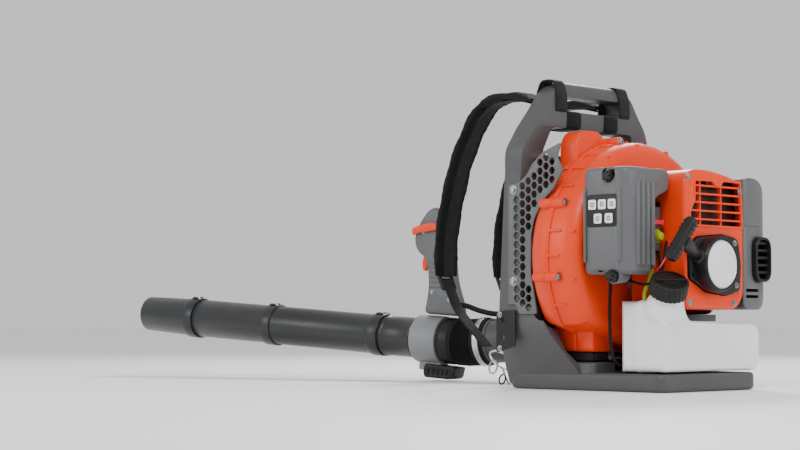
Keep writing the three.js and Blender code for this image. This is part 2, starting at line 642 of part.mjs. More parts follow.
function addTank() {
  const plan = outline([[-130, -148], [140, -148], [140, -44], [-96, -44], [-130, -78]], 10);
  const body = prismY(outline(TANK_EDGE, 10), -147, -42, [5, 4, 1], 2)
    .intersect(prismZ(plan, 20, 150, SHARP, 2));
  const corner = rod(capFrame(-46), capFrame(-CAP.height / 2 - 2 * GAP), 34, 14, 25);
  const insidePlan = outline([[-126, -145], [137, -145], [137, -47], [-96, -47], [-126, -80]], 8);
  const insideEdge = prismY(outline(inset(TANK_EDGE, 3), 8), -144, -46, [5, 3, 1], 1)
    .intersect(prismZ(insidePlan, 20, 150, SHARP, 1));
  const tank = body.add(corner).add(rod(capFrame(-16), capFrame(-1), 22, 14))
    .subtract(insideEdge)
    .subtract(rod(capFrame(-40), capFrame(4), 18, 12));
  add("fuel_tank", tank, "tank_plastic");

  const grip = new THREE.BoxGeometry(44, 5, 9).translate(0, CAP.height / 2 + 0.5, 0);
  const shell = turnedY([[0, -CAP.height / 2], [29, -CAP.height / 2], [CAP.radius, -CAP.height / 2 + 3],
    [CAP.radius, CAP.height / 2 - 3], [27, CAP.height / 2], [0, CAP.height / 2]], 18);
  const hollow = turnedY([[0, -CAP.height], [22.5, -CAP.height], [22.5, 3], [0, 3]], 18);
  const cap = geometryOf(shell.add(solid(grip)).subtract(hollow));
  const turn = new THREE.Quaternion().setFromUnitVectors(new THREE.Vector3(0, 1, 0),
    new THREE.Vector3(...CAP.axis).normalize());
  cap.applyQuaternion(turn).translate(...CAP.centre);
  add("fuel_cap", solid(cap), "frame_plastic");

  add("fuel_line", along([[-98, -92, 142.4], [-98, -93, 156], [-94, -99, 176], [-86, -100, 200],
    [-86, -99, 221.2]], 3, 8, 10), "fuel_line");
  const mountSpans = [["left", -114, -70], ["right", 48, 96]];
  mountSpans.forEach(([side, x0, x1]) => {
    const waist = prismZ(rectangle(x0, x1, 0, 78, 10), 44.7 + GAP, 61 - GAP, [3, 3, 1], 2);
    add(`rubber_mount_${side}`, waist, "rubber");
  });
}

// ---- Engine ----
const CASE = { rear: -92, front: FAN_REAR - GAP, radius: 46 };
const SHAFT = 8;

function addEngine() {
  const bore = 24.5;
  const caseBody = union([
    rodY(0, CRANK_Z, CASE.rear, CASE.front, CASE.radius, 16),
    rodY(0, CRANK_Z, CASE.front - 8, CASE.front, 44, 16),
    prismY(rectangle(-56, 56, 150, 236, 14), CASE.front - 8, CASE.front, SHARP, 1),
    box(-34, 34, CYLINDER_Y - 28, CYLINDER_Y + 27, 205, 247),
    prismY(outline([[-40, 150], [40, 150], [46, 200], [-46, 200]], 5), CASE.rear + 6, CASE.front - 12),
  ])
    .subtract(rodY(0, CRANK_Z, -78, -42, 35, 16))
    .subtract(rodY(0, CRANK_Z, -140, 0, SHAFT + 0.5, 10))
    .subtract(rod([0, CYLINDER_Y, 205], [0, CYLINDER_Y, 250], bore + 1.5, 16));
  add("crankcase", caseBody, "cast_aluminium");

  const finned = [260, 279, 298].map((z) => prismZ(rectangle(-44, 44, CYLINDER_Y - 36,
    CYLINDER_Y + 27, 12), z, z + 3, SHARP, 1));
  const barrel = rod([0, CYLINDER_Y, 247 + GAP], [0, CYLINDER_Y, 312], 31, 12);
  const flange = box(-34, 34, CYLINDER_Y - 28, CYLINDER_Y + 27, 247 + GAP, 252);
  const intake = rod([-60, CYLINDER_Y, 266], [-20, CYLINDER_Y, 266], 12.5, 10);
  const exhaust = rod([20, CYLINDER_Y, 274], [54, CYLINDER_Y, 274], 15, 10);
  const cylinder = union([barrel, flange, ...finned, intake, exhaust])
    .subtract(rod([0, CYLINDER_Y, 240], [0, CYLINDER_Y, 304], bore, 16))
    .subtract(rod([-70, CYLINDER_Y, 266], [0, CYLINDER_Y, 266], 9, 8))
    .subtract(rod([0, CYLINDER_Y, 274], [70, CYLINDER_Y, 274], 11, 8))
    .subtract(rod([0, CYLINDER_Y, 300], [0, CYLINDER_Y, 320], 6.3, 12));
  add("cylinder", cylinder, "cast_aluminium");

  const plug = union([
    rod([0, CYLINDER_Y, 304.5], [0, CYLINDER_Y, 312 + GAP], 6, 12),
    rod([0, CYLINDER_Y, 312 + GAP], [0, CYLINDER_Y, 320], 10, 6),
    rod([0, CYLINDER_Y, 319], [0, CYLINDER_Y, 334], 5, 12),
  ]);
  add("spark_plug", plug, "ceramic");

  // The crank stands with the piston at the top of its stroke.
  const pinZ = CRANK_Z + STROKE / 2;
  const wristZ = pinZ + 62;
  const piston = rod([0, CYLINDER_Y, wristZ - 18], [0, CYLINDER_Y, wristZ + 21], bore - GAP, 16)
    .subtract(rod([0, CYLINDER_Y, wristZ - 20], [0, CYLINDER_Y, wristZ + 16], bore - 4, 12))
    .add(rodY(0, wristZ, CYLINDER_Y - bore + 2.5, CYLINDER_Y + bore - 2.5, 6, 12));
  add("piston", piston, "cast_aluminium");
  const rodBody = union([
    rodY(0, wristZ, CYLINDER_Y - 5, CYLINDER_Y + 5, 11, 16),
    box(-6, 6, CYLINDER_Y - 3.4, CYLINDER_Y + 3.4, CRANK_Z + 15, wristZ - 8),
    rodY(0, pinZ, CYLINDER_Y - 3.4, CYLINDER_Y + 3.4, 12, 16),
  ])
    .subtract(rodY(0, wristZ, CYLINDER_Y - 10, CYLINDER_Y + 10, 6 + GAP, 12))
    .subtract(rodY(0, CRANK_Z, CYLINDER_Y - 10, CYLINDER_Y + 10, STROKE / 2 + 6.6, 20));
  add("connecting_rod", rodBody, "steel");

  const crank = union([
    rodY(0, CRANK_Z, -146, CYLINDER_Y - 4, SHAFT, 16),
    rodY(0, CRANK_Z, CYLINDER_Y + 4, 66, SHAFT, 16),
    rodY(0, CRANK_Z, CYLINDER_Y - 12, CYLINDER_Y - 4, 32, 18),
    rodY(0, CRANK_Z, CYLINDER_Y + 4, CYLINDER_Y + 12, 32, 18),
    rodY(0, pinZ, CYLINDER_Y - 5, CYLINDER_Y + 5, 5.5, 12),
  ]);
  add("crankshaft", crank, "steel");

  const wheel = [rodY(0, CRANK_Z, -112, -100, 50, 16), rodY(0, CRANK_Z, -120, -95.5, 16, 10)];
  for (let i = 0; i < 6; i += 1) {
    const fin = new THREE.BoxGeometry(24, 8, 2.4).translate(34, -115, 0).rotateY(radians(60 * i));
    wheel.push(solid(fin.translate(0, 0, CRANK_Z)));
  }
  add("flywheel", union(wheel).subtract(rodY(0, CRANK_Z, -130, -90, SHAFT + GAP, 16)), "cast_aluminium");
  const coilLegs = box(-36, -24, -110, -100.5, 254, 264).add(box(24, 36, -110, -100.5, 254, 264));
  add("ignition_coil", box(-36, 36, -114, -98.5, 262, 284).add(coilLegs), "black_plastic");

  const blades = [rodY(0, CRANK_Z, -14, -8, 122, 20), rodY(0, CRANK_Z, -16, 58, 18, 10)];
  for (let i = 0; i < 10; i += 1) {
    const blade = new THREE.BoxGeometry(92, 60, 3).rotateY(radians(-28)).translate(68, 21, 20);
    blades.push(solid(blade.rotateY(radians(36 * i)).translate(0, 0, CRANK_Z)));
  }
  const fan = union(blades)
    .intersect(turnedY([[0, -20], [122, -20], [122, 40], [104, 60], [0, 62]], 20).translate([0, 0, CRANK_Z]))
    .subtract(rodY(0, CRANK_Z, -30, 80, SHAFT + GAP, 16));
  add("impeller", fan, "black_plastic");
}

// ---- Exhaust side ----
const MUFFLER_EDGE = [[95 + GAP, 129], [146, 129], [168, 146], [186, 200], [190, 260], [182, 304], [160, 333],
  [132, 344], [95 + GAP, 344]];
const MUFFLER_PLAN = [[90, COVER.front], [192, COVER.front], [192, -96], [180, -124], [156, -138],
  [120, -145], [90, -145]];

function addExhaust() {
  const can = prismY(rectangle(56, 112, 234, 312, 12), -118, -48, [4, 4, 1], 1);
  const pipe = along([[96, -96, 250], [116, -100, 240], [132, -106, 224], [139, -118, 212]], 10, 8, 4);
  const muffler = can.add(pipe)
    .subtract(box(59, 109, -115, -51, 237, 309))
    .subtract(along([[92, -94, 252], [116, -100, 240], [132, -106, 224], [139, -120, 211]], 8, 6, 3))
    .subtract(rod([50, CYLINDER_Y, 274], [60, CYLINDER_Y, 274], 11, 12));
  add("muffler", muffler, "steel");

  const guardShape = (grow) => rectangle(117 - grow, 161 + grow, 174 - grow, 248 + grow, 22 + grow);
  const outer = prismY(outline(MUFFLER_EDGE, 10), -160, COVER.front, SHARP, 2)
    .intersect(prismZ(outline(MUFFLER_PLAN, 12), 100, 360, SHARP, 2));
  const innerPlan = inset(MUFFLER_PLAN, 3).map(([x, y]) => [x < 95 ? 80 : x, y > -40 ? -20 : y]);
  const innerEdge = inset(MUFFLER_EDGE, 3).map(([x, z]) => [x < 100 ? 80 : x, z]);
  const inner = prismY(outline(innerEdge, 8), -160, -20, SHARP, 1)
    .intersect(prismZ(outline(innerPlan, 10), 100, 360, SHARP, 1));
  const slots = [148, 158].map((z) => box(102, 140, -160, -120, z, z + 5));
  const cover = outer.subtract(inner)
    .subtract(prismY(guardShape(GAP), -200, -100, SHARP, 4))
    .subtract(union(slots));
  add("muffler_cover", cover, "grey_plastic");

  const sideSlots = [190, 202, 214, 226].map((z) => box(150, 170, -142, -128, z, z + 7));
  const guard = prismY(guardShape(0), -154, -121, SHARP, 4)
    .subtract(prismY(guardShape(-3), -160, -124, SHARP, 4))
    .subtract(rodY(139, 211, -130, -110, 13, 14))
    .subtract(union(sideSlots));
  add("exhaust_guard", guard, "black_plastic");
}

// ---- Engine cover and starter ----
const COVER_EDGE = [[-62, 129], [76, 129], [95, 150], [95, 328], [84, 338], [40, 347], [-4, 352], [-44, 350],
  [-62, 334]];

const OPENING_EDGE = [[-14, 156], [38, 150], [78, 157], [82, 202], [74, 244], [34, 250], [-37, 244],
  [-57, 222], [-57, 176], [-36, 168]];

function addCover() {
  const { rear, front, wall } = COVER;
  const outer = prismY(outline(COVER_EDGE, 14), rear, front + 10, [7, 5, 1], 2)
    .subtract(box(-200, 200, front, 0, 0, 400));
  const innerEdge = inset(COVER_EDGE, wall).map(([x, z]) => [x, z < 150 && x < 90 ? z - 10 : z]);
  const inner = prismY(outline(innerEdge, 12), rear + wall, front + 20, [6, 4, 1], 2);
  const window = outline([[-38, 262], [88, 262], [84, 334], [38, 335], [30, 325], [18, 325], [8, 334],
    [-36, 333], [-36, 302], [-48, 284], [-50, 262]], 2);
  const bars = [274, 288, 302, 316].map((z) => box(-54, 92, rear + 0.4, rear + wall, z, z + 2.6));
  const cover = outer.subtract(inner)
    .subtract(prismY(window, -160, rear + 8))
    .add(union(bars).intersect(prismY(outline(inset(COVER_EDGE, 1)), -160, 0)))
    .subtract(prismY(outline(OPENING_EDGE, 7), -160, rear + 12, SHARP, 2))
    .subtract(box(-70, -50, -96, -20, 240, 300))
    .subtract(box(80, 99, -130, -30, 150, 330));
  add("engine_cover", cover, "orange_plastic");

  // The starter stands out of the cover's lower opening.
  const { radius } = STARTER;
  const wayOut = new THREE.Vector3(...ROPE_EXIT);
  const neckIn = wayOut.clone().addScaledVector(PULL, -34).toArray();
  const neckOut = wayOut.toArray();
  const plate = prismY(outline(inset(OPENING_EDGE, 1.5), 7), -150, STARTER.front, SHARP, 2);
  const cup = turnedY([[0, -140], [radius - 2, -140], [radius, -160], [radius - 1, STARTER.rear + 2],
    [radius - 3, STARTER.rear], [39.5, STARTER.rear], [39.5, STARTER.rear + 2], [0, STARTER.rear + 2]], 20)
    .translate([0, 0, CRANK_Z]);
  const cavity = rodY(0, CRANK_Z, STARTER.rear + 5, -120, 39, 20);
  const plateHollow = prismY(outline(inset(OPENING_EDGE, 4), 6), -146, -110, SHARP, 1);
  const housing = union([cup, plate, rod(neckIn, neckOut, 14, 10, 11)])
    .subtract(cavity)
    .subtract(plateHollow)
    .subtract(rod(neckIn, wayOut.clone().addScaledVector(PULL, 5).toArray(), 3.4, 10));
  add("starter_housing", housing, "black_plastic");

  const pulley = union([rodY(0, CRANK_Z, -164, -161, 34, 16), rodY(0, CRANK_Z, -151, -148, 34, 16),
    rodY(0, CRANK_Z, -163, -149, 28, 12)]).subtract(rodY(0, CRANK_Z, -170, -140, 11, 12));
  add("starter_pulley", pulley, "black_plastic");
  add("recoil_spring", ringY(0, CRANK_Z, -146.5, -140, 32, 12, 14), "steel");

  const grip = new THREE.Vector3(...GRIP_MIDDLE);
  const stemEnd = wayOut.clone().addScaledVector(PULL, 1);
  const barWay = new THREE.Vector3(29.6, -20.2, 60).normalize();
  const barWide = new THREE.Vector3().crossVectors(PULL, barWay).normalize();
  const turn = new THREE.Matrix4().makeBasis(barWide, barWay, PULL);
  const bar = new THREE.ExtrudeGeometry(rectangle(-7, 7, -35, 35, 6), { depth: 9, curveSegments: 2,
    bevelEnabled: true, bevelThickness: 3, bevelSize: 3, bevelOffset: -3, bevelSegments: 1 });
  bar.applyMatrix4(turn).translate(...grip.toArray());
  const handle = solid(bar)
    .add(rod(stemEnd.toArray(), grip.clone().addScaledVector(PULL, 2).toArray(), 7.5, 14, 9))
    .subtract(rod(wayOut.toArray(), grip.toArray(), 2.6, 8));
  add("starter_grip", handle, "black_plastic");
  const ropeEnd = grip.clone().addScaledVector(PULL, -2).toArray();
  add("starter_rope", rod(wayOut.clone().addScaledVector(PULL, -22).toArray(), ropeEnd, 1.9, 8), "webbing");
}

// ---- Intake side ----
const KNOBS = [[-82, 335], [-89, 180]];

function addIntake() {
  const { left, right, rear, front, low, high } = FILTER;
  const boxPlan = [[left, rear + 12], [left + 12, rear], [right, rear], [right, front], [left + 10, front],
    [left, front - 10]];
  const boxBody = prismZ(outline(boxPlan, 14), low, high, [8, 5, 1], 2);
  const hoodFace = outline([[left + 10, 296], [-112, 284], [-98, 304], [-72, 314], [-66, 320], [-65, 340],
    [-72, 350], [left + 14, high - 2]], 8);
  const hood = prismY(hoodFace, rear, rear + 62, [5, 3, 1], 1);
  const flutes = [-146, -130, -114].map((x) => rod([x, rear - 1, low + 16], [x, rear - 1, 322], 5.5, 6));
  const hollowPlan = inset(boxPlan, 3).map(([x, y]) => [x > -115 ? -90 : x, y]);
  const hollow = prismZ(outline(hollowPlan, 10), low + 3, high - 3, [5, 3, 1], 1);
  const hoodHollow = prismY(outline([[left + 20, 306], [-104, 308], [-74, 322], [-74, 342],
    [left + 20, 344]], 4), rear + 4, rear + 70, SHARP, 1);
  const scoop = new THREE.SphereGeometry(34, 10, 6).scale(1, 1.15, 0.8).translate(left - 22, -62, low - 12);
  const [[upperY, upperZ], [lowerY, lowerZ]] = KNOBS;
  const lowerBoss = rod([left + 3, lowerY, lowerZ + 1], [left + 26, lowerY, lowerZ + 3], 13.5, 12);
  const recess = rod([left - 5, upperY, upperZ + 4], [left + 5, upperY, upperZ + 4], 13, 14);
  const holes = KNOBS.map(([y, z]) => rod([left - 20, y, z], [left + 8, y, z], 10, 14));
  const cover = union([boxBody, hood, ...flutes])
    .subtract(hollow)
    .subtract(hoodHollow)
    .subtract(solid(scoop))
    .subtract(recess)
    .add(lowerBoss)
    .subtract(union(holes));
  add("filter_cover", cover, "grey_plastic");

  KNOBS.forEach(([y, z], n) => {
    const x = left - 3 - 3 * n;
    const knob = [rod([x, y, z], [left + 7.6, y, z], 9.4, 14)];
    for (let i = 0; i < 3; i += 1) {
      const wing = new THREE.BoxGeometry(4, 18, 4).rotateX(radians(60 * i)).translate(x - 1, y, z);
      knob.push(solid(wing));
    }
    add(`filter_knob_${n ? "lower" : "upper"}`, union(knob), "black_plastic");
  });

  const port = rod([-110, -78, 252], [-90, -78, 252], 12, 16);
  add("filter_base", box(-104, -99, -112, -28, 192, 300).subtract(port), "frame_plastic");

  const element = prismX(rectangle(-108, -34, 200, 298, 6), -158, -108, SHARP, 1);
  const pleats = [-96, -84, -72, -60, -48].map((y) => box(-160, -148, y, y + 4, 194, 304));
  add("filter_element", element.subtract(union(pleats)), "filter_paper");

  const carburettor = union([
    box(-98.6, -72, -104, -52, 222, 290),
    rod([-80, CYLINDER_Y, 266], [-60 - GAP, CYLINDER_Y, 266], 12, 14),
  ]).subtract(rod([-110, CYLINDER_Y, 266], [-40, CYLINDER_Y, 266], 7.5, 12));
  add("carburettor", carburettor, "frame_plastic");

  const leverFace = outline([[-97, 261], [-70, 263], [-69, 269], [-97, 271]], 2);
  add("choke_lever", prismY(leverFace, -111, -104 - GAP), "red_plastic");
}

addFrame();
addGrilles();
addHarness();
addFanHousing();
addEngine();
addExhaust();
addCover();
addIntake();
addTank();
addAirPath();
addTubes();
addHandle();
addControlLines();

export default blower;
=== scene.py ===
"""Backpack leaf blower: the looks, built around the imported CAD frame.

+X is the wearer's right, +Y is forward and +Z is up. Shapes are given in millimetres and are
turned into metres where a mesh is made (the scale MM).
"""
import json
from math import copysign, cos, exp, hypot, pi, radians, sin

import bmesh
import bpy
from mathutils import Matrix, Vector


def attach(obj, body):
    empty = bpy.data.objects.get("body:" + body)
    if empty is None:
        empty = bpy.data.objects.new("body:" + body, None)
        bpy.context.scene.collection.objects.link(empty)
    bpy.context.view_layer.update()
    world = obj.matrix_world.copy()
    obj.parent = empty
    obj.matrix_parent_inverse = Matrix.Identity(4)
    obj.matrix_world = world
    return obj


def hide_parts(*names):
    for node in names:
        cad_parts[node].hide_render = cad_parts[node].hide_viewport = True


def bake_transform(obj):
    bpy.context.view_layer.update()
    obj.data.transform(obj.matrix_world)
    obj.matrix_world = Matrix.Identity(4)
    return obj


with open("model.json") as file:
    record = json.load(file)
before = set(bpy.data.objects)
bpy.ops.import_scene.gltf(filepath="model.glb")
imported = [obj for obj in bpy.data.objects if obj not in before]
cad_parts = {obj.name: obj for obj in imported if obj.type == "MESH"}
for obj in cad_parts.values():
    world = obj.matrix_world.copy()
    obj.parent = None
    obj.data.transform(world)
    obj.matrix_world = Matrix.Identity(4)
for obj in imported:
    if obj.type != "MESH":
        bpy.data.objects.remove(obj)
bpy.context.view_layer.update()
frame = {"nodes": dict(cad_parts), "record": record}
NODES = frame["nodes"]
MM = 0.001
BACKPACK = "backpack"
PIVOT = Vector((98.4, 472.6, 71))


# ---- Camera, floor and light ----
def look_from(location, pitch, heading, lens):
    camera = bpy.data.objects.new("camera", bpy.data.cameras.new("camera"))
    camera.location = location
    camera.rotation_euler = (radians(90 + pitch), 0, radians(-heading))
    camera.data.lens = lens
    camera.data.sensor_width = 36
    camera.data.clip_end = 100
    bpy.context.collection.objects.link(camera)
    bpy.context.scene.camera = camera


def area_light(name, location, target, size, power, colour=(1, 1, 1)):
    light = bpy.data.lights.new(name, "AREA")
    light.shape = "DISK"
    light.size = size
    light.energy = power
    light.color = colour
    lamp = bpy.data.objects.new(name, light)
    lamp.location = location
    lamp.rotation_euler = (Vector(target) - Vector(location)).to_track_quat("-Z", "Y").to_euler()
    bpy.context.collection.objects.link(lamp)


def studio():
    look_from((-2.450, -1.945, 0.109), 2.94, 44.4, 85)
    bpy.ops.mesh.primitive_plane_add(size=60, location=(0, 0, -0.0006))
    floor = bpy.context.object
    floor.name = "studio_floor"
    paint = bpy.data.materials.new("studio_floor")
    paint.use_nodes = True
    shader = paint.node_tree.nodes["Principled BSDF"]
    shader.inputs["Base Color"].default_value = (0.93, 0.93, 0.93, 1)
    shader.inputs["Roughness"].default_value = 0.55
    floor.data.materials.append(paint)
    world = bpy.data.worlds.new("studio")
    world.use_nodes = True
    world.node_tree.nodes["Background"].inputs["Color"].default_value = (1, 1, 1, 1)
    world.node_tree.nodes["Background"].inputs["Strength"].default_value = 0.8
    bpy.context.scene.world = world
    area_light("key", (-1.6, -1.2, 2.2), (0, 0, 0.25), 1.0, 42)
    area_light("rim", (1.6, 1.4, 1.8), (0, 0.2, 0.25), 0.8, 44)
    area_light("side", (-2.2, 1.4, 1.0), (0, 0.4, 0.2), 1.0, 16)
    area_light("front", (0.6, -2.4, 0.9), (0, -0.1, 0.2), 0.8, 16)


# ---- Materials ----
class Paint:
    """A node material under construction."""

    def __init__(self, name, roughness, metallic=0.0, coat=0.0, sheen=0.0, shine=0.5):
        self.made = bpy.data.materials.new(name)
        self.made.use_nodes = True
        self.tree = self.made.node_tree
        self.shader = self.tree.nodes["Principled BSDF"]
        self.shader.inputs["Roughness"].default_value = roughness
        self.shader.inputs["Metallic"].default_value = metallic
        self.shader.inputs["Coat Weight"].default_value = coat
        self.shader.inputs["Sheen Weight"].default_value = sheen
        self.shader.inputs["Specular IOR Level"].default_value = shine
        self.place = self.tree.nodes.new("ShaderNodeTexCoord").outputs["Object"]
        self.height = None

    def node(self, kind, values, links):
        made = self.tree.nodes.new(kind)
        for socket, value in values.items():
            if isinstance(socket, str) and socket.startswith("."):
                setattr(made, socket[1:], value)
            else:
                made.inputs[socket].default_value = value
        for socket, source in links.items():
            self.tree.links.new(source, made.inputs[socket])
        return made

    def noise(self, scale, detail=3.0, rough=0.6, stretch=None):
        place = self.place
        if stretch:
            place = self.node("ShaderNodeMapping", {"Scale": stretch}, {"Vector": place}).outputs[
                "Vector"]
        values = {"Scale": scale, "Detail": detail, "Roughness": rough}
        return self.node("ShaderNodeTexNoise", values, {"Vector": place}).outputs["Fac"]

    def wave(self, scale, direction, distortion=0.0):
        values = {".wave_type": "BANDS", ".bands_direction": direction, "Scale": scale,
            "Distortion": distortion}
        return self.node("ShaderNodeTexWave", values, {"Vector": self.place}).outputs["Fac"]

    def spread(self, factor, low, high, start=0.3, end=0.7):
        values = {"From Min": start, "From Max": end, "To Min": low, "To Max": high}
        return self.node("ShaderNodeMapRange", values, {"Value": factor}).outputs["Result"]

    def mix(self, factor, first, second):
        values = {".data_type": "RGBA"}
        made = self.node("ShaderNodeMix", values, {"Factor": factor})
        for socket, colour in (("A", first), ("B", second)):
            end = [s for s in made.inputs if s.name == socket and s.type == "RGBA"][0]
            if isinstance(colour, tuple):
                end.default_value = (*colour, 1)
            else:
                self.tree.links.new(colour, end)
        return [s for s in made.outputs if s.type == "RGBA"][0]

    def colour(self, source):
        self.tree.links.new(source, self.shader.inputs["Base Color"])

    def rough(self, source):
        self.tree.links.new(source, self.shader.inputs["Roughness"])

    def bump(self, height, depth, strength=1.0):
        values = {"Strength": strength, "Distance": depth}
        links = {"Height": height}
        if self.height is not None:
            links["Normal"] = self.height
        self.height = self.node("ShaderNodeBump", values, links).outputs["Normal"]
        self.tree.links.new(self.height, self.shader.inputs["Normal"])


def shade(colour, factor):
    return tuple(min(1.0, c * factor) for c in colour)


def moulded(name, colour, roughness, grain=1400, depth=0.00006, coat=0.0, shine=0.4):
    """Moulded plastic: a fine spark-eroded grain, slight tone drift, scuffs and dust in the roughness."""
    paint = Paint(name, roughness, coat=coat, shine=shine)
    drift = paint.noise(9, 2)
    scuffs = paint.noise(60, 6, 0.75, stretch=(1.0, 1.0, 4.0))
    toned = paint.mix(paint.spread(drift, 0, 1), shade(colour, 0.94), shade(colour, 1.05))
    worn = paint.mix(paint.spread(scuffs, 0, 0.22, 0.58, 0.8), toned, shade(colour, 1.35))
    paint.colour(worn)
    paint.rough(paint.spread(scuffs, roughness - 0.06, roughness + 0.1))
    paint.bump(paint.noise(grain, 2, 0.5), depth, 0.35)
    return paint.made


def metal(name, colour, roughness, stretch=(1, 1, 1), depth=0.00003):
    paint = Paint(name, roughness, metallic=1.0)
    lines = paint.noise(500, 4, 0.7, stretch=stretch)
    stains = paint.noise(35, 4)
    paint.colour(paint.mix(paint.spread(stains, 0, 1), shade(colour, 0.82), colour))
    paint.rough(paint.spread(lines, roughness - 0.08, roughness + 0.14))
    paint.bump(lines, depth, 0.4)
    return paint.made


def woven(name, colour, thread, sheen=0.06):
    """Plain-woven nylon: over and under threads, fuzz and worn lighter patches."""
    paint = Paint(name, 0.88, sheen=sheen, shine=0.2)
    across = paint.wave(thread, "X")
    along = paint.wave(thread, "DIAGONAL", 0.4)
    level = paint.wave(thread, "Z")
    weave = paint.node("ShaderNodeMath", {".operation": "MULTIPLY"}, {0: across, 1: level}).outputs[0]
    both = paint.node("ShaderNodeMath", {".operation": "MAXIMUM"}, {0: weave, 1: along}).outputs[0]
    fuzz = paint.noise(45, 5, 0.7)
    threads = paint.mix(both, shade(colour, 0.55), shade(colour, 1.25))
    paint.colour(paint.mix(paint.spread(fuzz, 0, 0.35), threads, shade(colour, 1.9)))
    paint.rough(paint.spread(fuzz, 0.78, 0.96))
    paint.bump(both, 0.00022, 0.6)
    paint.bump(fuzz, 0.0006, 0.3)
    return paint.made


def ribbed(name, colour):
    """Webbing: close ribs along its run and a flat, slightly shiny face."""
    paint = Paint(name, 0.7, sheen=0.05, shine=0.25)
    ribs = paint.wave(420, "X")
    picks = paint.wave(260, "Z", 0.2)
    both = paint.node("ShaderNodeMath", {".operation": "ADD"}, {0: ribs, 1: picks}).outputs[0]
    paint.colour(paint.mix(paint.spread(both, 0, 1, 0.2, 1.6), shade(colour, 0.6), shade(colour, 1.5)))
    paint.rough(paint.spread(paint.noise(70, 4), 0.6, 0.82))
    paint.bump(both, 0.0003, 0.7)
    return paint.made


def rubbery(name, colour, roughness=0.78):
    paint = Paint(name, roughness, shine=0.3)
    dust = paint.noise(22, 5, 0.7)
    paint.colour(paint.mix(paint.spread(dust, 0, 0.5, 0.45, 0.8), colour, shade(colour, 2.2)))
    paint.rough(paint.spread(dust, roughness - 0.1, roughness + 0.1))
    paint.bump(paint.noise(900, 2), 0.00008, 0.5)
    return paint.made


def milky(name, colour):
    """Translucent blow-moulded plastic with a faint flow pattern."""
    paint = Paint(name, 0.3)
    paint.shader.inputs["Subsurface Weight"].default_value = 0.35
    paint.shader.inputs["Subsurface Radius"].default_value = (0.02, 0.02, 0.02)
    flow = paint.noise(14, 4, 0.6, stretch=(1, 1, 2))
    paint.colour(paint.mix(paint.spread(flow, 0, 1), shade(colour, 0.94), colour))
    paint.rough(paint.spread(paint.noise(80, 4), 0.24, 0.4))
    paint.bump(paint.noise(500, 3), 0.00008, 0.5)
    paint.bump(flow, 0.0012, 0.25)
    return paint.made


def glassy(name, colour):
    paint = Paint(name, 0.22)
    paint.shader.inputs["Transmission Weight"].default_value = 0.35
    tint = paint.noise(60, 3)
    paint.colour(paint.mix(paint.spread(tint, 0, 1), shade(colour, 0.82), colour))
    paint.bump(tint, 0.0001, 0.3)
    return paint.made


def pleated(name, colour):
    paint = Paint(name, 0.95)
    folds = paint.wave(300, "Y")
    # The colour is darker in each pleat's valley: painted shade in the folds, on top of the real fold bump.
    paint.colour(paint.mix(folds, shade(colour, 0.6), colour))
    paint.bump(folds, 0.0005, 0.8)
    return paint.made


PAINT = {"frame_plastic": moulded("frame_plastic", (0.062, 0.064, 0.067), 0.46),
    "grey_plastic": moulded("grey_plastic", (0.1, 0.103, 0.107), 0.42), "light_grey_plastic": moulded(
    "light_grey_plastic", (0.2, 0.204, 0.21), 0.42), "black_plastic": moulded("black_plastic",
    (0.0075, 0.0078, 0.0085), 0.4, shine=0.3), "orange_plastic": moulded("orange_plastic",
    (0.8, 0.042, 0.0005), 0.36, grain=900, depth=0.00004, shine=0.3),
    "tube_plastic": moulded("tube_plastic", (0.02, 0.021, 0.0225), 0.34, grain=1100, depth=0.00005),
    "rubber": rubbery("rubber", (0.006, 0.006, 0.0065)), "fabric": woven("fabric", (0.0052, 0.0054,
    0.006), 330), "webbing": ribbed("webbing", (0.0055, 0.0055, 0.0062)),
    "tank_plastic": milky("tank_plastic", (0.84, 0.86, 0.87)), "fuel_line": glassy("fuel_line",
    (0.55, 0.62, 0.02)), "red_plastic": moulded("red_plastic", (0.68, 0.012, 0.05), 0.3, coat=0.2),
    "cast_aluminium": metal("cast_aluminium", (0.3, 0.305, 0.31), 0.5, depth=0.0001),
    "steel": metal("steel", (0.6, 0.61, 0.63), 0.3, stretch=(1, 6, 1)),
    "filter_paper": pleated("filter_paper", (0.62, 0.52, 0.3)), "ceramic": moulded("ceramic",
    (0.82, 0.8, 0.74), 0.2, coat=0.4), "screw_steel": metal("screw_steel", (0.36, 0.37, 0.39), 0.36),
    "white_label": moulded("white_label", (0.8, 0.81, 0.82), 0.35, grain=600, depth=0.00002),
    "silver_cord": ribbed("silver_cord", (0.35, 0.36, 0.37)),}

# ---- Meshes ----
AXIS = {"X": Matrix(((0, 0, 1), (1, 0, 0), (0, 1, 0))), "Y": Matrix(((1, 0, 0), (0, 0, -1), (0, 1, 0))),
    "Z": Matrix.Identity(3)}


def from_lists(points, faces):
    mesh = bpy.data.meshes.new("solid")
    mesh.from_pydata([Vector(p) * MM for p in points], [], faces)
    tidy = bmesh.new()
    tidy.from_mesh(mesh)
    bmesh.ops.remove_doubles(tidy, verts=tidy.verts, dist=1e-6)
    bmesh.ops.recalc_face_normals(tidy, faces=tidy.faces)
    tidy.to_mesh(mesh)
    tidy.free()
    made = bpy.data.objects.new("solid", mesh)
    bpy.context.collection.objects.link(made)
    return made


def outline(points, radius=0.0, steps=6):
    """Points round an outline with each corner turned into a curve. A point may carry its own radius."""
    ring = []
    for i, corner in enumerate(points):
        here = Vector(corner[:2])
        r = corner[2] if len(corner) > 2 else radius
        before = Vector(points[i - 1][:2])
        after = Vector(points[(i + 1) % len(points)][:2])
        if r <= 0:
            ring.append(here)
            continue
        start = here + (before - here).normalized() * min(r, 0.45 * (before - here).length)
        end = here + (after - here).normalized() * min(r, 0.45 * (after - here).length)
        for k in range(steps + 1):
            t = k / steps
            ring.append(start * (1 - t) ** 2 + here * 2 * t * (1 - t) + end * t ** 2)
    return [(p.x, p.y) for p in ring]


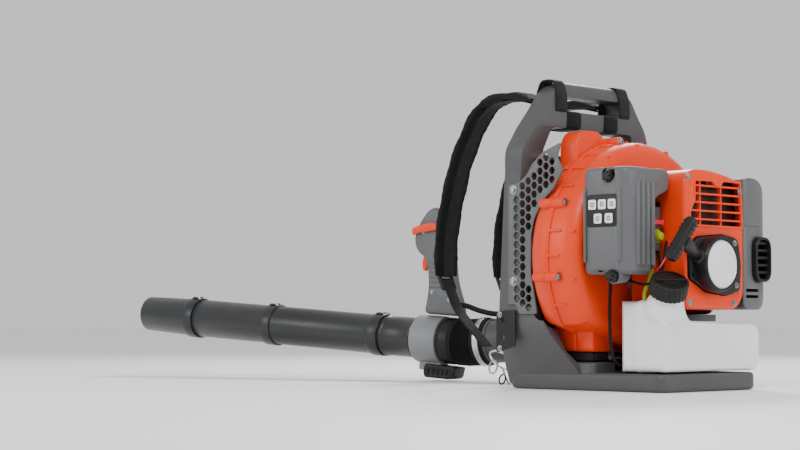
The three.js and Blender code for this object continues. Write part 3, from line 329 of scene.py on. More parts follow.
def rectangle(x0, x1, y0, y1, radius=0.0, steps=6):
    return outline([(x0, y0), (x1, y0), (x1, y1), (x0, y1)], radius, steps)


def area_of(points):
    return sum(points[i - 1][0] * p[1] - p[0] * points[i - 1][1] for i, p in enumerate(points)) / 2


def inset(points, distance):
    """The outline moved inward by a distance."""
    turn = 1 if area_of(points) > 0 else -1
    moved = []
    for i, point in enumerate(points):
        here = Vector(point[:2])
        a = (here - Vector(points[i - 1][:2])).normalized()
        b = (Vector(points[(i + 1) % len(points)][:2]) - here).normalized()
        normal = Vector((-(a.y + b.y), a.x + b.x))
        normal.normalize()
        spread = max(0.4, normal.dot(Vector((-a.y, a.x))))
        moved.append((here.x + turn * normal.x * distance / spread, here.y
            + turn * normal.y * distance / spread))
    return moved


def angles(count):
    return [2 * pi * i / count for i in range(count)]


def circle(centre, u, v, radius, sides):
    return [centre + (u * cos(a) + v * sin(a)) * radius for a in angles(sides)]


def skin(rows, count, closed=True):
    """Faces between neighbouring rings of points; a closed skin also joins the last ring to the first."""
    faces = []
    for row in range(rows if closed else rows - 1):
        a, b = row * count, (row + 1) % rows * count
        for i in range(count):
            j = (i + 1) % count
            faces.append((a + i, a + j, b + j, b + i))
    return faces


def layered(rings):
    """A closed solid through rings of equal length, capped at both ends."""
    count = len(rings[0])
    points = [p for ring in rings for p in ring]
    faces = [tuple(range(count)), tuple(range(count * (len(rings) - 1), count * len(rings)))]
    return from_lists(points, faces + skin(len(rings), count, False))


def prism(ring, low, high, axis="Z", bevel=0.0, across=None, steps=4, ends="both"):
    """An outline pushed from low to high along an axis with round edges: bevel deep and across wide."""
    across = bevel if across is None else across
    quarter = [(bevel * (1 - cos(pi / 2 * k / steps)), across * (1 - sin(pi / 2 * k / steps)))
        for k in range(steps + 1)] if bevel else [(0, 0)]
    start = [(low + d, i) for d, i in quarter] if ends in ("both", "low") else [(low, 0)]
    finish = [(high - d, i) for d, i in reversed(quarter)] if ends in ("both", "high") else [(high, 0)]
    turn = AXIS[axis]
    rings = []
    for level, margin in start + finish:
        flat = inset(ring, margin) if margin else ring
        height = -level if axis == "Y" else level
        rings.append([turn @ Vector((x, y, height)) for x, y in flat])
    return layered(rings)


def frame_along(way):
    way = Vector(way).normalized()
    side = way.orthogonal().normalized()
    return side, way.cross(side)


def rod(start, end, radius, end_radius=None, sides=40, bevel=0.0):
    """A cylinder or cone between two points, its ends rounded over by the bevel."""
    start, end = Vector(start), Vector(end)
    end_radius = radius if end_radius is None else end_radius
    way = (end - start).normalized()
    u, v = frame_along(way)
    length = (end - start).length
    stops = [(0, radius), (length, end_radius)]
    if bevel:
        stops = [(0, radius - bevel), (0.3 * bevel, radius - 0.3 * bevel), (bevel, radius),
            (length - bevel, end_radius), (length - 0.3 * bevel, end_radius - 0.3 * bevel),
            (length, end_radius - bevel)]
    rings = []
    for at, r in stops:
        rings.append(circle(start + way * at, u, v, r, sides))
    return layered(rings)


def box(x0, x1, y0, y1, z0, z1):
    return prism(rectangle(x0, x1, y0, y1), z0, z1)


def lathe(profile, start=(0, 0, 0), way=(0, 1, 0), sides=96, closed=True):
    """A profile of (radius, distance) turned about a line. A closed profile makes a ring or pipe."""
    start = Vector(start)
    way = Vector(way).normalized()
    u, v = frame_along(way)
    points = []
    for r, at in profile:
        points += circle(start + way * at, u, v, r, sides)
    rows = len(profile)
    faces = skin(rows, sides, closed)
    if not closed:
        faces.append(tuple(range(sides)))
        faces.append(tuple(range((rows - 1) * sides, rows * sides)))
    return from_lists(points, faces)


def smooth_path(points, count):
    """Catmull-Rom points through a list of points."""
    points = [Vector(p) for p in points]
    ends = [points[0] * 2 - points[1], *points, points[-1] * 2 - points[-2]]
    path = []
    spans = len(points) - 1
    for k in range(count + 1):
        t = min(k / count * spans, spans - 1e-6)
        i = int(t)
        t -= i
        a, b, c, d = ends[i:i + 4]
        path.append(0.5 * ((2 * b) + (c - a) * t + (2 * a - 5 * b + 4 * c - d) * t * t
            + (3 * b - a - 3 * c + d) * t ** 3))
    return path


def tube(points, radius, sides=16, count=60):
    """A round tube along a smooth curve."""
    path = smooth_path(points, count)
    rings = []
    u = None
    for i, here in enumerate(path):
        way = (path[min(i + 1, count)] - path[max(i - 1, 0)]).normalized()
        u = way.orthogonal().normalized() if u is None else (u - way * u.dot(way)).normalized()
        v = way.cross(u)
        rings.append(circle(here, u, v, radius, sides))
    return layered(rings)


def combine(target, tools, operation="DIFFERENCE"):
    """Cuts or joins solids, and removes the tools."""
    for tool in tools:
        change = target.modifiers.new("change", "BOOLEAN")
        change.operation = operation
        change.solver = "MANIFOLD"
        change.object = tool
    apply_modifiers(target)
    for tool in tools:
        bpy.data.objects.remove(tool)
    return target


def apply_modifiers(target):
    bpy.context.view_layer.update()
    evaluated = target.evaluated_get(bpy.context.evaluated_depsgraph_get())
    baked = bpy.data.meshes.new_from_object(evaluated)
    target.modifiers.clear()
    target.data = baked
    return target


def cut(target, *tools):
    return combine(target, tools)


def weld(target, *tools):
    return combine(target, tools, "UNION")


def keep(target, *tools):
    return combine(target, tools, "INTERSECT")


def moved(target, matrix):
    """Brings a solid made in a turned frame into the blower's frame. The matrix is in millimetres."""
    metres = matrix.copy()
    metres.translation = matrix.translation * MM
    target.data.transform(metres)
    return target


def smoothed(target, angle=32):
    for face in target.data.polygons:
        face.use_smooth = True
    target.data.set_sharp_from_angle(angle=radians(angle))
    return target


def rounded(target, width, segments=2, angle=35):
    """Small round edges, so that edges catch the light."""
    edge = target.modifiers.new("edges", "BEVEL")
    edge.width = width * MM
    edge.segments = segments
    edge.limit_method = "ANGLE"
    edge.angle_limit = radians(angle)
    edge.use_clamp_overlap = True
    edge.harden_normals = False
    return target


def dress(target, name, paint, stands_for=None, body=BACKPACK, edges=0.0, angle=32):
    """Finishes a piece: its edges, material and body, and the CAD node that it stands for."""
    target.name = name
    if edges:
        rounded(target, edges)
        apply_modifiers(target)
    smoothed(target, angle)
    target.data.materials.clear()
    target.data.materials.append(PAINT[paint])
    if stands_for:
        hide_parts(stands_for)
    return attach(target, body) if body else target


def carried():
    """The CAD nodes whose shape is right get their material and small round edges."""
    for part in frame["record"]["subparts"]:
        node = NODES[part["node"]]
        if node.hide_render:
            continue
        node.data.materials.clear()
        node.data.materials.append(PAINT[part["material_slot"]])
        smoothed(node, 40)
        rounded(node, 0.7, 2, 40)


def turned_frame(pitch, heading=12):
    turn = Matrix.Rotation(radians(heading), 4, "Z") @ Matrix.Rotation(radians(pitch), 4, "X")
    return Matrix.Translation(PIVOT) @ turn


TUBE_FRAME = turned_frame(4.1)
ELBOW_FRAME = turned_frame(-3)

# ---- Fan housing ----
CRANK_Z = 200
SCROLL = {"x": 3, "z": 214, "radius": 190, "floor": 138, "outlet": 122, "left": 108}
LUGS = (24, 62, 100, 154, 190)
SEAM_REAR, SEAM_FRONT = 32.8, 33.2
COVER_FACE = -38.3


def scroll_ring(grow=0.0):
    """The scroll's outline seen along Y: a big arc, a flatter floor and the outlet at the lower right."""
    points = [(SCROLL["x"] + SCROLL["radius"] + grow, SCROLL["outlet"] - max(0, -grow) * 2)]
    for i in range(73):
        a = radians(215 * i / 72)
        points.append((SCROLL["x"] + (SCROLL["radius"] + grow) * cos(a), SCROLL["z"] + (SCROLL["radius"]
            + grow) * sin(a)))
    for i in range(1, 22):
        a = radians(246 + 64 * i / 21)
        points.append(((SCROLL["floor"] + grow) * cos(a), CRANK_Z + (SCROLL["floor"] + grow) * sin(a)))
    points.append((SCROLL["left"] - grow, SCROLL["outlet"] - max(0, -grow) * 2))
    return points


def lug_centre(degrees):
    a = radians(degrees)
    reach = SCROLL["radius"] + 3
    return SCROLL["x"] + reach * cos(a), SCROLL["z"] + reach * sin(a)


def leg(x0, x1, high, y0, y1):
    ring = outline([(x0, 61), (x1, 61), (x1 - 5, high), (x0 + 2, high + 4)], 10)
    return prism(ring, y0, y1, "Y", 3)


def lug(degrees, y0, y1):
    x, z = lug_centre(degrees)
    return rod((x, y0, z), (x, y1, z), 8, sides=32, bevel=1.2)


def rib(degrees, y0, y1, high):
    """A stiffening rib along the scroll's wall."""
    a = radians(degrees)
    r = SCROLL["radius"]
    out = Vector((cos(a), sin(a)))
    side = Vector((-sin(a), cos(a))) * 1.6
    near, far = out * (r - 22), out * (r + high)
    corners = [near - side, far - side, far + side, near + side]
    return prism([(SCROLL["x"] + c.x, SCROLL["z"] + c.y) for c in corners], y0, y1, "Y")


def fan_housing():
    front = prism(scroll_ring(), SEAM_FRONT, 84, "Y", 45, 32, 14, "high")
    inner = prism(scroll_ring(-3), 20, 81, "Y", 45, 32, 8, "high")
    tower_ring = outline([(-98, 340), (-20, 372), (-26, 416), (-44, 424), (-84, 422), (-98, 404)], 12)
    tower = prism(tower_ring, 46, 82, "Y", 4)
    flange = prism(scroll_ring(3.4), SEAM_FRONT, 37, "Y", 0.8)
    weld(front, tower, flange, leg(-118, -66, 104, SEAM_FRONT, 80), leg(46, 98, 100, SEAM_FRONT, 80),
        *[lug(d, SEAM_FRONT, 58) for d in LUGS], *[rib(d, 35, 50, 3) for d in range(36, 150, 12)])
    cut(front, inner, rod((0, 60, CRANK_Z), (0, 100, CRANK_Z), 74, sides=72))
    dress(front, "fan_shell_front", "orange_plastic", "fan_housing_front", edges=0.8)

    rear = prism(scroll_ring(), -24, SEAM_REAR, "Y", 30, 22, 12, "low")
    hollow = prism(scroll_ring(-3), -21, 60, "Y", 30, 22, 8, "low")
    flange = prism(scroll_ring(3.4), 29, SEAM_REAR, "Y", 0.8)
    weld(rear, flange, leg(-118, -66, 104, -2, SEAM_REAR), leg(46, 98, 100, -2, SEAM_REAR),
        *[lug(d, 8, SEAM_REAR) for d in LUGS], *[rib(d, 6, 31, 3) for d in range(12, 216, 12)],
        *[rib(d, -18, -6, -3) for d in range(24, 216, 24)])
    cut(rear, hollow, rod((0, -60, CRANK_Z), (0, 0, CRANK_Z), 20))
    dress(rear, "fan_shell_rear", "orange_plastic", "fan_housing_rear", edges=0.8)
    for n, degrees in enumerate(LUGS):
        x, z = lug_centre(degrees)
        screw(f"housing_screw_{n}", (x, 8.2, z), (0, -1, 0), 4.6)


def screw(name, place, out, radius, body=BACKPACK):
    """A washer-headed screw with a hexagon socket, standing on a face."""
    place, out = Vector(place), Vector(out).normalized()
    foot, top = place - out * 1.5, place + out * 3.2
    head = rod(foot, top, radius, sides=32, bevel=0.6)
    weld(head, rod(foot, place + out * 0.7, radius * 1.45, sides=32, bevel=0.3))
    cut(head, rod(top - out * 1.6, top + out * 2, radius * 0.5, sides=6))
    return dress(head, name, "screw_steel", body=body)


# ---- Frame ----
FRONT_LINE = [(175, 28), (161, 96), (147, 337), (134, 440), (129, 490)]


def front_at(z):
    for (y0, z0), (y1, z1) in zip(FRONT_LINE, FRONT_LINE[1:]):
        if z <= z1:
            return y0 + (y1 - y0) * (z - z0) / (z1 - z0)
    return FRONT_LINE[-1][0]


def mirrored(points):
    return points + [(-x, *rest) for x, *rest in reversed(points)]


def behind_front(depth):
    line = [(y - depth, z) for y, z in FRONT_LINE]
    return [(-200, 20), (line[0][0], 20), *line, (line[-1][0], 600), (-200, 600)]


def frame_body():
    half = 161.5
    base = prism(rectangle(-125, 125, -150, 175, 24, 10), 0, 28, "Z", 6)
    sides = [(117, 4), (125, 26), (half - 6, 84), (half, 100), (half, 352), (half + 4, 376),
        (half + 4, 392), (143, 430), (119, 460), (101, 488), (84, 505), (60, 508)]
    panel = prism(outline(mirrored(sides), 10, 5), 0, 200, "Y")
    profile = [(175, 4), *FRONT_LINE, (120, 508), (100, 508), (91, 492), (90, 440), (103, 388),
        (113, 337), (116, 140), (72, 128), (48, 82), (20, 30), (20, 4)]
    keep(panel, prism(outline(profile, 9, 6), -200, 200, "X"))
    window = prism(rectangle(-80, 80, 458, 484, 12), 0, 300, "Y")
    lower = prism(outline([(-118, 384), (118, 384), (104, 430), (-104, 430)], 12), 0, 300, "Y")

    def rib_inner(m):
        return [(-half + m, 62), (-half + m, 376), (half - m, 376), (half - m, 62), (125 - m + 6, 30),
            (-125 + m - 6, 30)]
    pocket = prism(outline(rib_inner(25), 6), -10, 200, "Y")
    keep(pocket, prism(behind_front(14), -300, 300, "X"))
    recess = prism(rectangle(-122, 122, 146, 378, 10), 100, 220, "Y")
    cut(recess, prism(behind_front(6), -300, 300, "X"))
    cut(panel, window, lower, pocket, recess)
    decks = [prism(rectangle(x0, x1, -8, 86, 12), 20, 44.7, "Z", 5) for x0, x1 in ((-122, -62),
        (40, 104))]
    weld(base, panel, *decks)
    cut(base, rod((-136, 62, 98), (-100, 62, 98), 11), rod((152, 0, 78), (152, 260, 78), 45, sides=64),
        rod((100, 100, 137), (100, 200, 137), 7), box(104, 200, -22, 74, 105, 126), prism(scroll_ring(4),
        -40, 88, "Y", 20, 14, 6))
    dress(base, "frame_tray", "frame_plastic", "frame", edges=2.6, angle=38)


# ---- Side grilles ----
GRILLE_FRONT = [(114, 122), (119, 138), (136, 138), (136, 333), (112, 336), (95, 348), (82, 366),
    (60, 383), (22, 396), (30, 374), (18, 351), (38, 322)]
GRILLE_EDGE = {"left": [*GRILLE_FRONT, (60, 304), (79, 276), (86, 250), (87, 186), (81, 160), (74, 122)],
    "right": [*GRILLE_FRONT[:8], (52, 378), (44, 352), (52, 322), (72, 304), (85, 276), (89, 250),
    (89, 122)]}
HEX_PITCH = 14.6
HEX_ROW = 0.866
HEX_ACROSS = 12.2
HEX_MARGIN = 2.6
BOLT_ROOM = 14
GRILLE_THICK = 3.4
GRILLE_INNER = 161.8


def contains(ring, y, z):
    inside = False
    for i, (y1, z1) in enumerate(ring):
        y0, z0 = ring[i - 1]
        if (z0 > z) != (z1 > z) and y < (y1 - y0) * (z - z0) / (z1 - z0) + y0:
            inside = not inside
    return inside


def hexagon(y, z, radius):
    return [(y + radius * cos(radians(a)), z + radius * sin(radians(a))) for a in range(0, 360, 60)]


def grille(side):
    edge = GRILLE_EDGE[side]
    out = -1 if side == "left" else 1
    low, high = sorted((out * GRILLE_INNER, out * (GRILLE_INNER + GRILLE_THICK)))
    plate = prism(outline(edge, 5), low, high, "X", 0.8, 0.8, 2)
    bolts = [(124, 324), (124, 175)]
    points, faces = [], []
    for row in range(32):
        for column in range(14):
            y = 16 + HEX_PITCH * HEX_ROW * column
            z = 118 + HEX_PITCH * (row + (column % 2) / 2)
            clear = all(hypot(y - by, z - bz) > BOLT_ROOM for by, bz in bolts)
            if not clear or not all(contains(edge, *p) for p in hexagon(y, z, HEX_ACROSS / 2
                    + HEX_MARGIN)):
                continue
            base = len(points)
            for x in (low - 2, high + 2):
                points += [(x, *corner) for corner in hexagon(y, z, HEX_ACROSS / 1.732)]
            faces += [tuple(base + k for k in range(6)), tuple(base + 6 + k for k in range(6))]
            faces += [(base + k, base + (k + 1) % 6, base + 6 + (k + 1) % 6, base + 6 + k)
                for k in range(6)]
    cut(plate, from_lists(points, faces))
    dress(plate, f"grille_panel_{side}", "grey_plastic", f"grille_{side}", edges=0.5, angle=35)
    for n, (y, z) in enumerate(bolts):
        place = (out * (GRILLE_INNER + 3.2), y, z)
        nut = rod(place, (out * (GRILLE_INNER + 7), y, z), 5.4, sides=6)
        weld(nut, rod(place, (out * (GRILLE_INNER + 4.2), y, z), 7.6, sides=36, bevel=0.3))
        dress(nut, f"grille_bolt_{side}_{n}", "screw_steel", edges=0.4)


# ---- Exhaust side ----
MUFFLER_EDGE = [(95.3, 129), (146, 129), (168, 146), (186, 200), (190, 260), (182, 304), (160, 333),
    (132, 344), (95.3, 344)]
MUFFLER_PLAN = [(90, -38), (192, -38), (192, -96), (180, -124), (156, -138), (120, -145), (90, -145)]


def guard_ring(grow):
    return rectangle(117 - grow, 161 + grow, 174 - grow, 248 + grow, 21.5 + grow, 10)


def exhaust_side():
    cover = prism(outline(MUFFLER_EDGE, 14, 8), -160, COVER_FACE, "Y")
    keep(cover, prism(outline(MUFFLER_PLAN, 20, 8), 100, 360, "Z"))
    inner = prism(outline(inset(MUFFLER_EDGE, 3), 11), -160, -20, "Y")
    keep(inner, prism(outline(inset(MUFFLER_PLAN, 3), 17), 100, 360, "Z"))
    cut(cover, inner, box(60, 98.4, -141, -20, 134, 340), box(60, 186, -41, -20, 134, 340),
        prism(guard_ring(0.4), -200, -100, "Y"), *[prism(rectangle(100, 140, z, z + 5, 2.4), -160, -120,
        "Y") for z in (148, 158)])
    groove = prism(outline([(97, 264), (188, 264), (188, 266.4), (97, 266.4)]), -160, -60, "Y")
    cut(groove, prism(outline(inset(MUFFLER_PLAN, 1.1), 19), 90, 400, "Z"))
    cut(cover, groove)
    dress(cover, "muffler_shell", "grey_plastic", "muffler_cover", edges=2.0, angle=36)

    guard = prism(guard_ring(0), -153.6, -121.4, "Y", 2.2, 2.2, 4, "low")
    cut(guard, prism(guard_ring(-4.4), -170, -124, "Y"), rod((139, -130, 211), (139, -110, 211), 13))
    bars = [prism(rectangle(119, 159, z, z + 4.2, 1.2), -148, -136, "Y") for z in (188, 200, 212, 224,
        236)]
    weld(guard, *bars)
    dress(guard, "exhaust_frame", "black_plastic", "exhaust_guard", edges=0.5)


# ---- Engine cover and starter ----
COVER_EDGE = [(-62, 129), (76, 129), (95, 150), (95, 328), (84, 338), (40, 347), (-4, 352), (-44, 350),
    (-62, 334)]
OPENING_EDGE = [(-14, 156), (38, 150), (78, 157), (82, 202), (74, 244), (34, 250), (-37, 244), (-57, 222),
    (-57, 176), (-36, 168)]
PULL = Vector((-0.9, -0.22, 0.37)).normalized()
ROPE_EXIT = Vector((-50, -158, 214))
GRIP_MIDDLE = Vector((-103, -171, 235))


def engine_cover():
    cover = prism(outline(COVER_EDGE, 16, 8), -145, COVER_FACE, "Y", 7, 6, 6, "low")
    inner = prism(outline(inset(COVER_EDGE, 3), 13, 6), -142, -20, "Y", 5, 4, 4, "low")
    window_edge = [(-37, 263), (87, 263), (83, 333), (38, 334, 4), (31, 325, 3), (17, 325, 3),
        (9, 333, 4), (-36, 332), (-36, 302), (-48, 284), (-49, 264)]
    frame_edge = prism(outline(inset(window_edge, -4), 5), -146.6, -142, "Y", 1.2)
    weld(cover, frame_edge)
    cut(cover, inner, prism(outline(window_edge, 3), -160, -130, "Y"), prism(outline(OPENING_EDGE, 8),
        -160, -130, "Y"), box(-70, -50, -96, -20, 240, 300), box(80, 99, -130, -30, 150, 330))
    bars = [box(-54, 91, -144.4, -134, z, z + 2.8) for z in (270.5, 284, 297.5, 311, 324)]
    posts = [box(x, x + 2.6, -143.4, -136, 262, 335) for x in (-21, 34)]
    weld(cover, *bars, *posts)
    dress(cover, "cover_shell", "orange_plastic", "engine_cover", edges=0.9, angle=36)
    # A black sheet just behind the louvre window: painted shade that fills the window, not a real engine
    # part.
    shade_sheet = prism(outline(inset(window_edge, -2), 4), -130.5, -128.5, "Y", 0.6)
    dress(shade_sheet, "louvre_shade_sheet", "black_plastic")
    for n, (x, z) in enumerate(((-53, 338), (84, 320), (-52, 140), (66, 140))):
        screw(f"cover_screw_{n}", (x, -145, z), (0, -1, 0), 3.6)


def starter():
    plate = prism(outline(inset(OPENING_EDGE, 1.6), 8), -150, -126.3, "Y", 2, 2, 4, "low")
    bowl = lathe([(0.01, 0), (43, 0), (44, -14), (44, -26), (43, -30), (41.6, -31.6), (39.6, -32),
        (39.4, -30.2), (0.01, -30.2)], (0, -140, CRANK_Z), closed=False)
    neck = rod(ROPE_EXIT - PULL * 34, ROPE_EXIT - PULL * 1, 14, 11, bevel=0.8)
    weld(plate, bowl, neck)
    hollow = prism(outline(inset(OPENING_EDGE, 4.5), 6), -146, -110, "Y")
    cut(plate, rod((0, -167, CRANK_Z), (0, -110, CRANK_Z), 39, sides=72), hollow,
        rod(ROPE_EXIT - PULL * 36, ROPE_EXIT + PULL * 6, 3.4))
    vents = []
    for i in range(13):
        a = radians(200 + 140 * i / 12)
        x, z = 51.5 * cos(a), CRANK_Z + 51.5 * sin(a)
        if contains(outline(inset(OPENING_EDGE, 7), 6), x, z):
            vents.append(rod((x, -170, z), (x, -120, z), 2.6, sides=20))
    cut(plate, *vents)
    dress(plate, "starter_shell", "black_plastic", "starter_housing", edges=0.6)

    badge = rod((0, -170.9, CRANK_Z), (0, -169.3, CRANK_Z), 38.6, sides=96, bevel=0.5)
    dress(badge, "starter_badge", "white_label")
    ring = lathe([(36.6, 0), (37.6, -0.5), (38.4, 0), (37.6, 0.5)], (0, -171, CRANK_Z))
    dress(ring, "badge_ring", "steel")
    for n, (x, z) in enumerate(((66, 168), (-48, 212), (62, 236))):
        screw(f"starter_screw_{n}", (x, -150, z), (0, -1, 0), 3.4)

    bar_way = Vector((29.6, -20.2, 60)).normalized()
    bar_wide = PULL.cross(bar_way).normalized()
    turn = Matrix((bar_wide, bar_way, PULL)).transposed().to_4x4()
    turn.translation = GRIP_MIDDLE
    handle = prism(rectangle(-10, 10, -38, 38, 9, 8), -3, 12, "Z", 4.5, 4.5, 6)
    weld(handle, *[prism(rectangle(-11, 11, y, y + 3.2, 1), -2, 10.6, "Z", 1.2) for y in (-30, -23, -16,
        13, 20, 27)])
    moved(handle, turn)
    weld(handle, rod(ROPE_EXIT + PULL * 1.2, GRIP_MIDDLE + PULL * 2, 7.5, 13.5))
    cut(handle, rod(ROPE_EXIT, GRIP_MIDDLE, 2.6))
    dress(handle, "pull_grip", "black_plastic", "starter_grip", "starter_handle", edges=0.5)

    rope = tube([ROPE_EXIT - PULL * 22, ROPE_EXIT, GRIP_MIDDLE - PULL * 2], 1.9, 16, 30)
    dress(rope, "pull_rope", "silver_cord", "starter_rope", None)
    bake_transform(rope)


# ---- Intake side ----
KNOBS = {"upper": (-82, 335), "lower": (-89, 180)}
LEFT, RIGHT, REAR, FRONT, LOW, HIGH = -173, -106, -119, -26, 183, 350


def filter_cover():
    plan = [(LEFT, REAR + 12), (LEFT + 12, REAR), (RIGHT, REAR), (RIGHT, FRONT), (LEFT + 10, FRONT),
        (LEFT, FRONT - 10)]
    cover = prism(outline(plan, 16, 8), LOW, HIGH, "Z", 9, 7, 7)
    hood_ring = outline([(LEFT + 10, 296), (-112, 284), (-98, 304), (-72, 314), (-66, 320), (-65, 340),
        (-72, 350), (LEFT + 14, HIGH - 2)], 9)
    hood = prism(hood_ring, REAR, REAR + 62, "Y", 6, 4.5, 6)
    flutes = []
    for x in (-148, -135.5, -123, -110.5):
        flutes.append(rod((x, REAR + 0.6, LOW + 14), (x, REAR + 0.6, 330), 4.6, sides=24, bevel=2.2))
    flutes += [rod((LEFT + 0.4, y, 202), (LEFT + 0.4, y, 316), 2.6, sides=20, bevel=1.4) for y in (-103,
        -34)]
    weld(cover, hood, *flutes)
    hollow = prism(outline([(x if x < -115 else -90, y) for x, y in inset(plan, 3)], 12), LOW + 3,
        HIGH - 3, "Z", 5)
    hood_hollow = prism(outline([(LEFT + 20, 306), (-104, 308), (-74, 322), (-74, 342), (LEFT + 20, 344)],
        5), REAR + 4, REAR + 70, "Y")
    bpy.ops.mesh.primitive_uv_sphere_add(segments=48, ring_count=32, radius=34 * MM)
    scoop = bpy.context.object
    scoop.data.transform(Matrix.Translation(Vector((LEFT - 22, -62, LOW - 12)) * MM)
        @ Matrix.Diagonal((1, 1.15, 0.8, 1)))
    y, z = KNOBS["upper"]
    recess = rod((LEFT - 5, y, z + 4), (LEFT + 5, y, z + 4), 13)
    label = prism(rectangle(-98, -38, 256, 308, 5), LEFT - 4, LEFT + 0.8, "X")
    cut(cover, hollow, hood_hollow, scoop, recess, label)
    y, z = KNOBS["lower"]
    weld(cover, rod((LEFT + 3, y, z + 1), (LEFT + 26, y, z + 3), 13.5))
    cut(cover, *[rod((LEFT - 20, ky, kz), (LEFT + 8, ky, kz), 10) for ky, kz in KNOBS.values()])
    dress(cover, "filter_shell", "grey_plastic", "filter_cover", edges=0.9, angle=36)

    plate = prism(rectangle(-97.2, -38.8, 256.8, 307.2, 4.6), LEFT + 0.3, LEFT + 1.1, "X", 0.2)
    dress(plate, "instruction_label", "black_plastic")
    tiles = [(-88 + 19.5 * i, 292) for i in range(3)] + [(-82 + 22 * i, 270) for i in range(2)]
    for n, (ty, tz) in enumerate(tiles):
        tile = prism(rectangle(ty - 7.6, ty + 7.6, tz - 7.6, tz + 7.6, 3), LEFT - 0.1, LEFT + 0.6, "X",
            0.2)
        dress(tile, f"label_tile_{n}", "white_label")
        mark = lathe([(2.2, -0.3), (3.6, -0.3), (3.6, 0.1), (2.2, 0.1)], (LEFT - 0.1, ty, tz), (1, 0, 0),
            32)
        dress(mark, f"label_mark_{n}", "black_plastic")

    for n, (side, (y, z)) in enumerate(KNOBS.items()):
        x = LEFT - 3 - 3 * n
        knob = rod((x, y, z), (LEFT + 7.4, y, z), 9.2, sides=48, bevel=1.2)
        wings = []
        for i in range(3):
            wing = prism(rectangle(-2.1, 2.1, -9.2, 9.2, 1.6), x - 3, x + 1, "X", 0.8)
            wing.data.transform(Matrix.Translation(Vector((0, y, z)) * MM)
                @ Matrix.Rotation(radians(60 * i), 4, "X"))
            wings.append(wing)
        weld(knob, *wings)
        dress(knob, f"knob_{side}", "black_plastic", f"filter_knob_{side}", f"knob_{side}", edges=0.3)


def intake_details():
    strip = prism(rectangle(-107, -104.6, 254, 288, 1), -94.6, -90.6, "X", 0.3)
    dress(strip, "choke_scale", "white_label")
    lever = prism(outline([(-97, 261.4), (-78, 262.6), (-70.6, 261), (-69.4, 271), (-78, 268.6),
        (-97, 270.6)], 3), -110.8, -104.5, "Y", 1)
    dress(lever, "choke_arm", "red_plastic", "choke_lever", "choke", edges=0.3)
    routes = {"wire_red": ("red_plastic", 1.5, [(-96, -112, 188), (-98, -124, 196), (-84, -126, 214),
        (-64, -116, 232), (-56, -104, 250)]), "wire_black": ("rubber", 2.0, [(-104, -60, 176),
        (-100, -100, 168), (-88, -118, 186), (-80, -118, 216), (-62, -108, 236)]),
        "return_hose": ("rubber", 2.6, [(-86, -96, 142), (-84, -104, 160), (-78, -108, 188),
        (-72, -100, 216), (-74, -92, 224)]),}
    for name, (paint, radius, route) in routes.items():
        dress(tube(route, radius, 12, 40), name, paint)
    fuel = tube([(-98, -92, 142.4), (-98, -93, 156), (-94, -99, 176), (-86, -100, 200),
        (-86, -99, 221.2)], 3.2, 16, 60)
    dress(fuel, "fuel_hose", "fuel_line", "fuel_line")
    primer = lathe([(0.01, -9), (6, -7.6), (9, -2), (9.4, 0), (11, 0.6), (11, 3), (0.01, 3)],
        (-82, -107, 244), sides=40, closed=False)
    dress(primer, "primer_bulb", "fuel_line")


# ---- Fuel tank ----
TANK_EDGE = [(-121, 31), (128, 31), (135, 44), (135, 100), (118, 107), (-54, 111), (-68, 142),
    (-112, 142), (-121, 132)]
CAP_CENTRE = Vector((-108, -148, 163))
CAP_AXIS = Vector((-0.3, -0.45, 0.84)).normalized()


def fuel_tank():
    body = prism(outline(TANK_EDGE, 14, 8), -147, -42.3, "Y", 8, 6, 7)
    plan = outline([(-130, -148), (140, -148), (140, -44), (-96, -44), (-130, -78)], 14, 8)
    keep(body, prism(plan, 20, 150, "Z"))
    corner = rod(CAP_CENTRE - CAP_AXIS * 46, CAP_CENTRE - CAP_AXIS * 13, 33, 25, bevel=2.5, sides=72)
    neck = rod(CAP_CENTRE - CAP_AXIS * 16, CAP_CENTRE - CAP_AXIS * 1.3, 22, sides=72)
    seam = prism(outline(inset(TANK_EDGE, -1.2), 14, 8), -93.6, -91.4, "Y", 0.6)
    weld(body, corner, neck)
    keep(seam, prism(outline([(-131, -149), (141, -149), (141, -43), (-97, -43), (-131, -77)], 14), 30,
        150, "Z"))
    inside = prism(outline(inset(TANK_EDGE, 3), 10), -144, -46, "Y", 5)
    keep(inside, prism(outline([(-126, -145), (137, -145), (137, -47), (-96, -47), (-126, -80)], 10), 20,
        150, "Z"))
    weld(body, seam)
    cut(body, inside, rod(CAP_CENTRE - CAP_AXIS * 40, CAP_CENTRE + CAP_AXIS * 4, 18, sides=64))
    dress(body, "tank_shell", "tank_plastic", "fuel_tank", edges=1.6, angle=40)

    turn = CAP_AXIS.to_track_quat("Z", "Y").to_matrix().to_4x4()
    turn.translation = CAP_CENTRE
    ring = []
    for a in angles(288):
        r = 30.2 - 1.5 * (0.5 + 0.5 * cos(24 * a)) ** 2
        ring.append((r * cos(a), r * sin(a)))
    cap = prism(ring, -13, 13, "Z", 3, 2.5, 4)
    cut(cap, rod((0, 0, -26), (0, 0, 3), 22.6, sides=64), lathe([(14, 11), (25, 11), (25, 16), (14, 16)],
        way=(0, 0, 1)))
    bar = prism(rectangle(-24, 24, -3.2, 3.2, 3), 9, 15.8, "Z", 1.6)
    weld(cap, bar)
    moved(cap, turn)
    dress(cap, "cap_shell", "black_plastic", "fuel_cap", "cap", edges=0.5)
    tether = tube([CAP_CENTRE - CAP_AXIS * 14 + Vector((24, -2, 4)), Vector((-80, -150, 142)),
        Vector((-72, -144, 128)), Vector((-76, -140, 116))], 1.6, 10, 30)
    dress(tether, "cap_tether", "rubber")


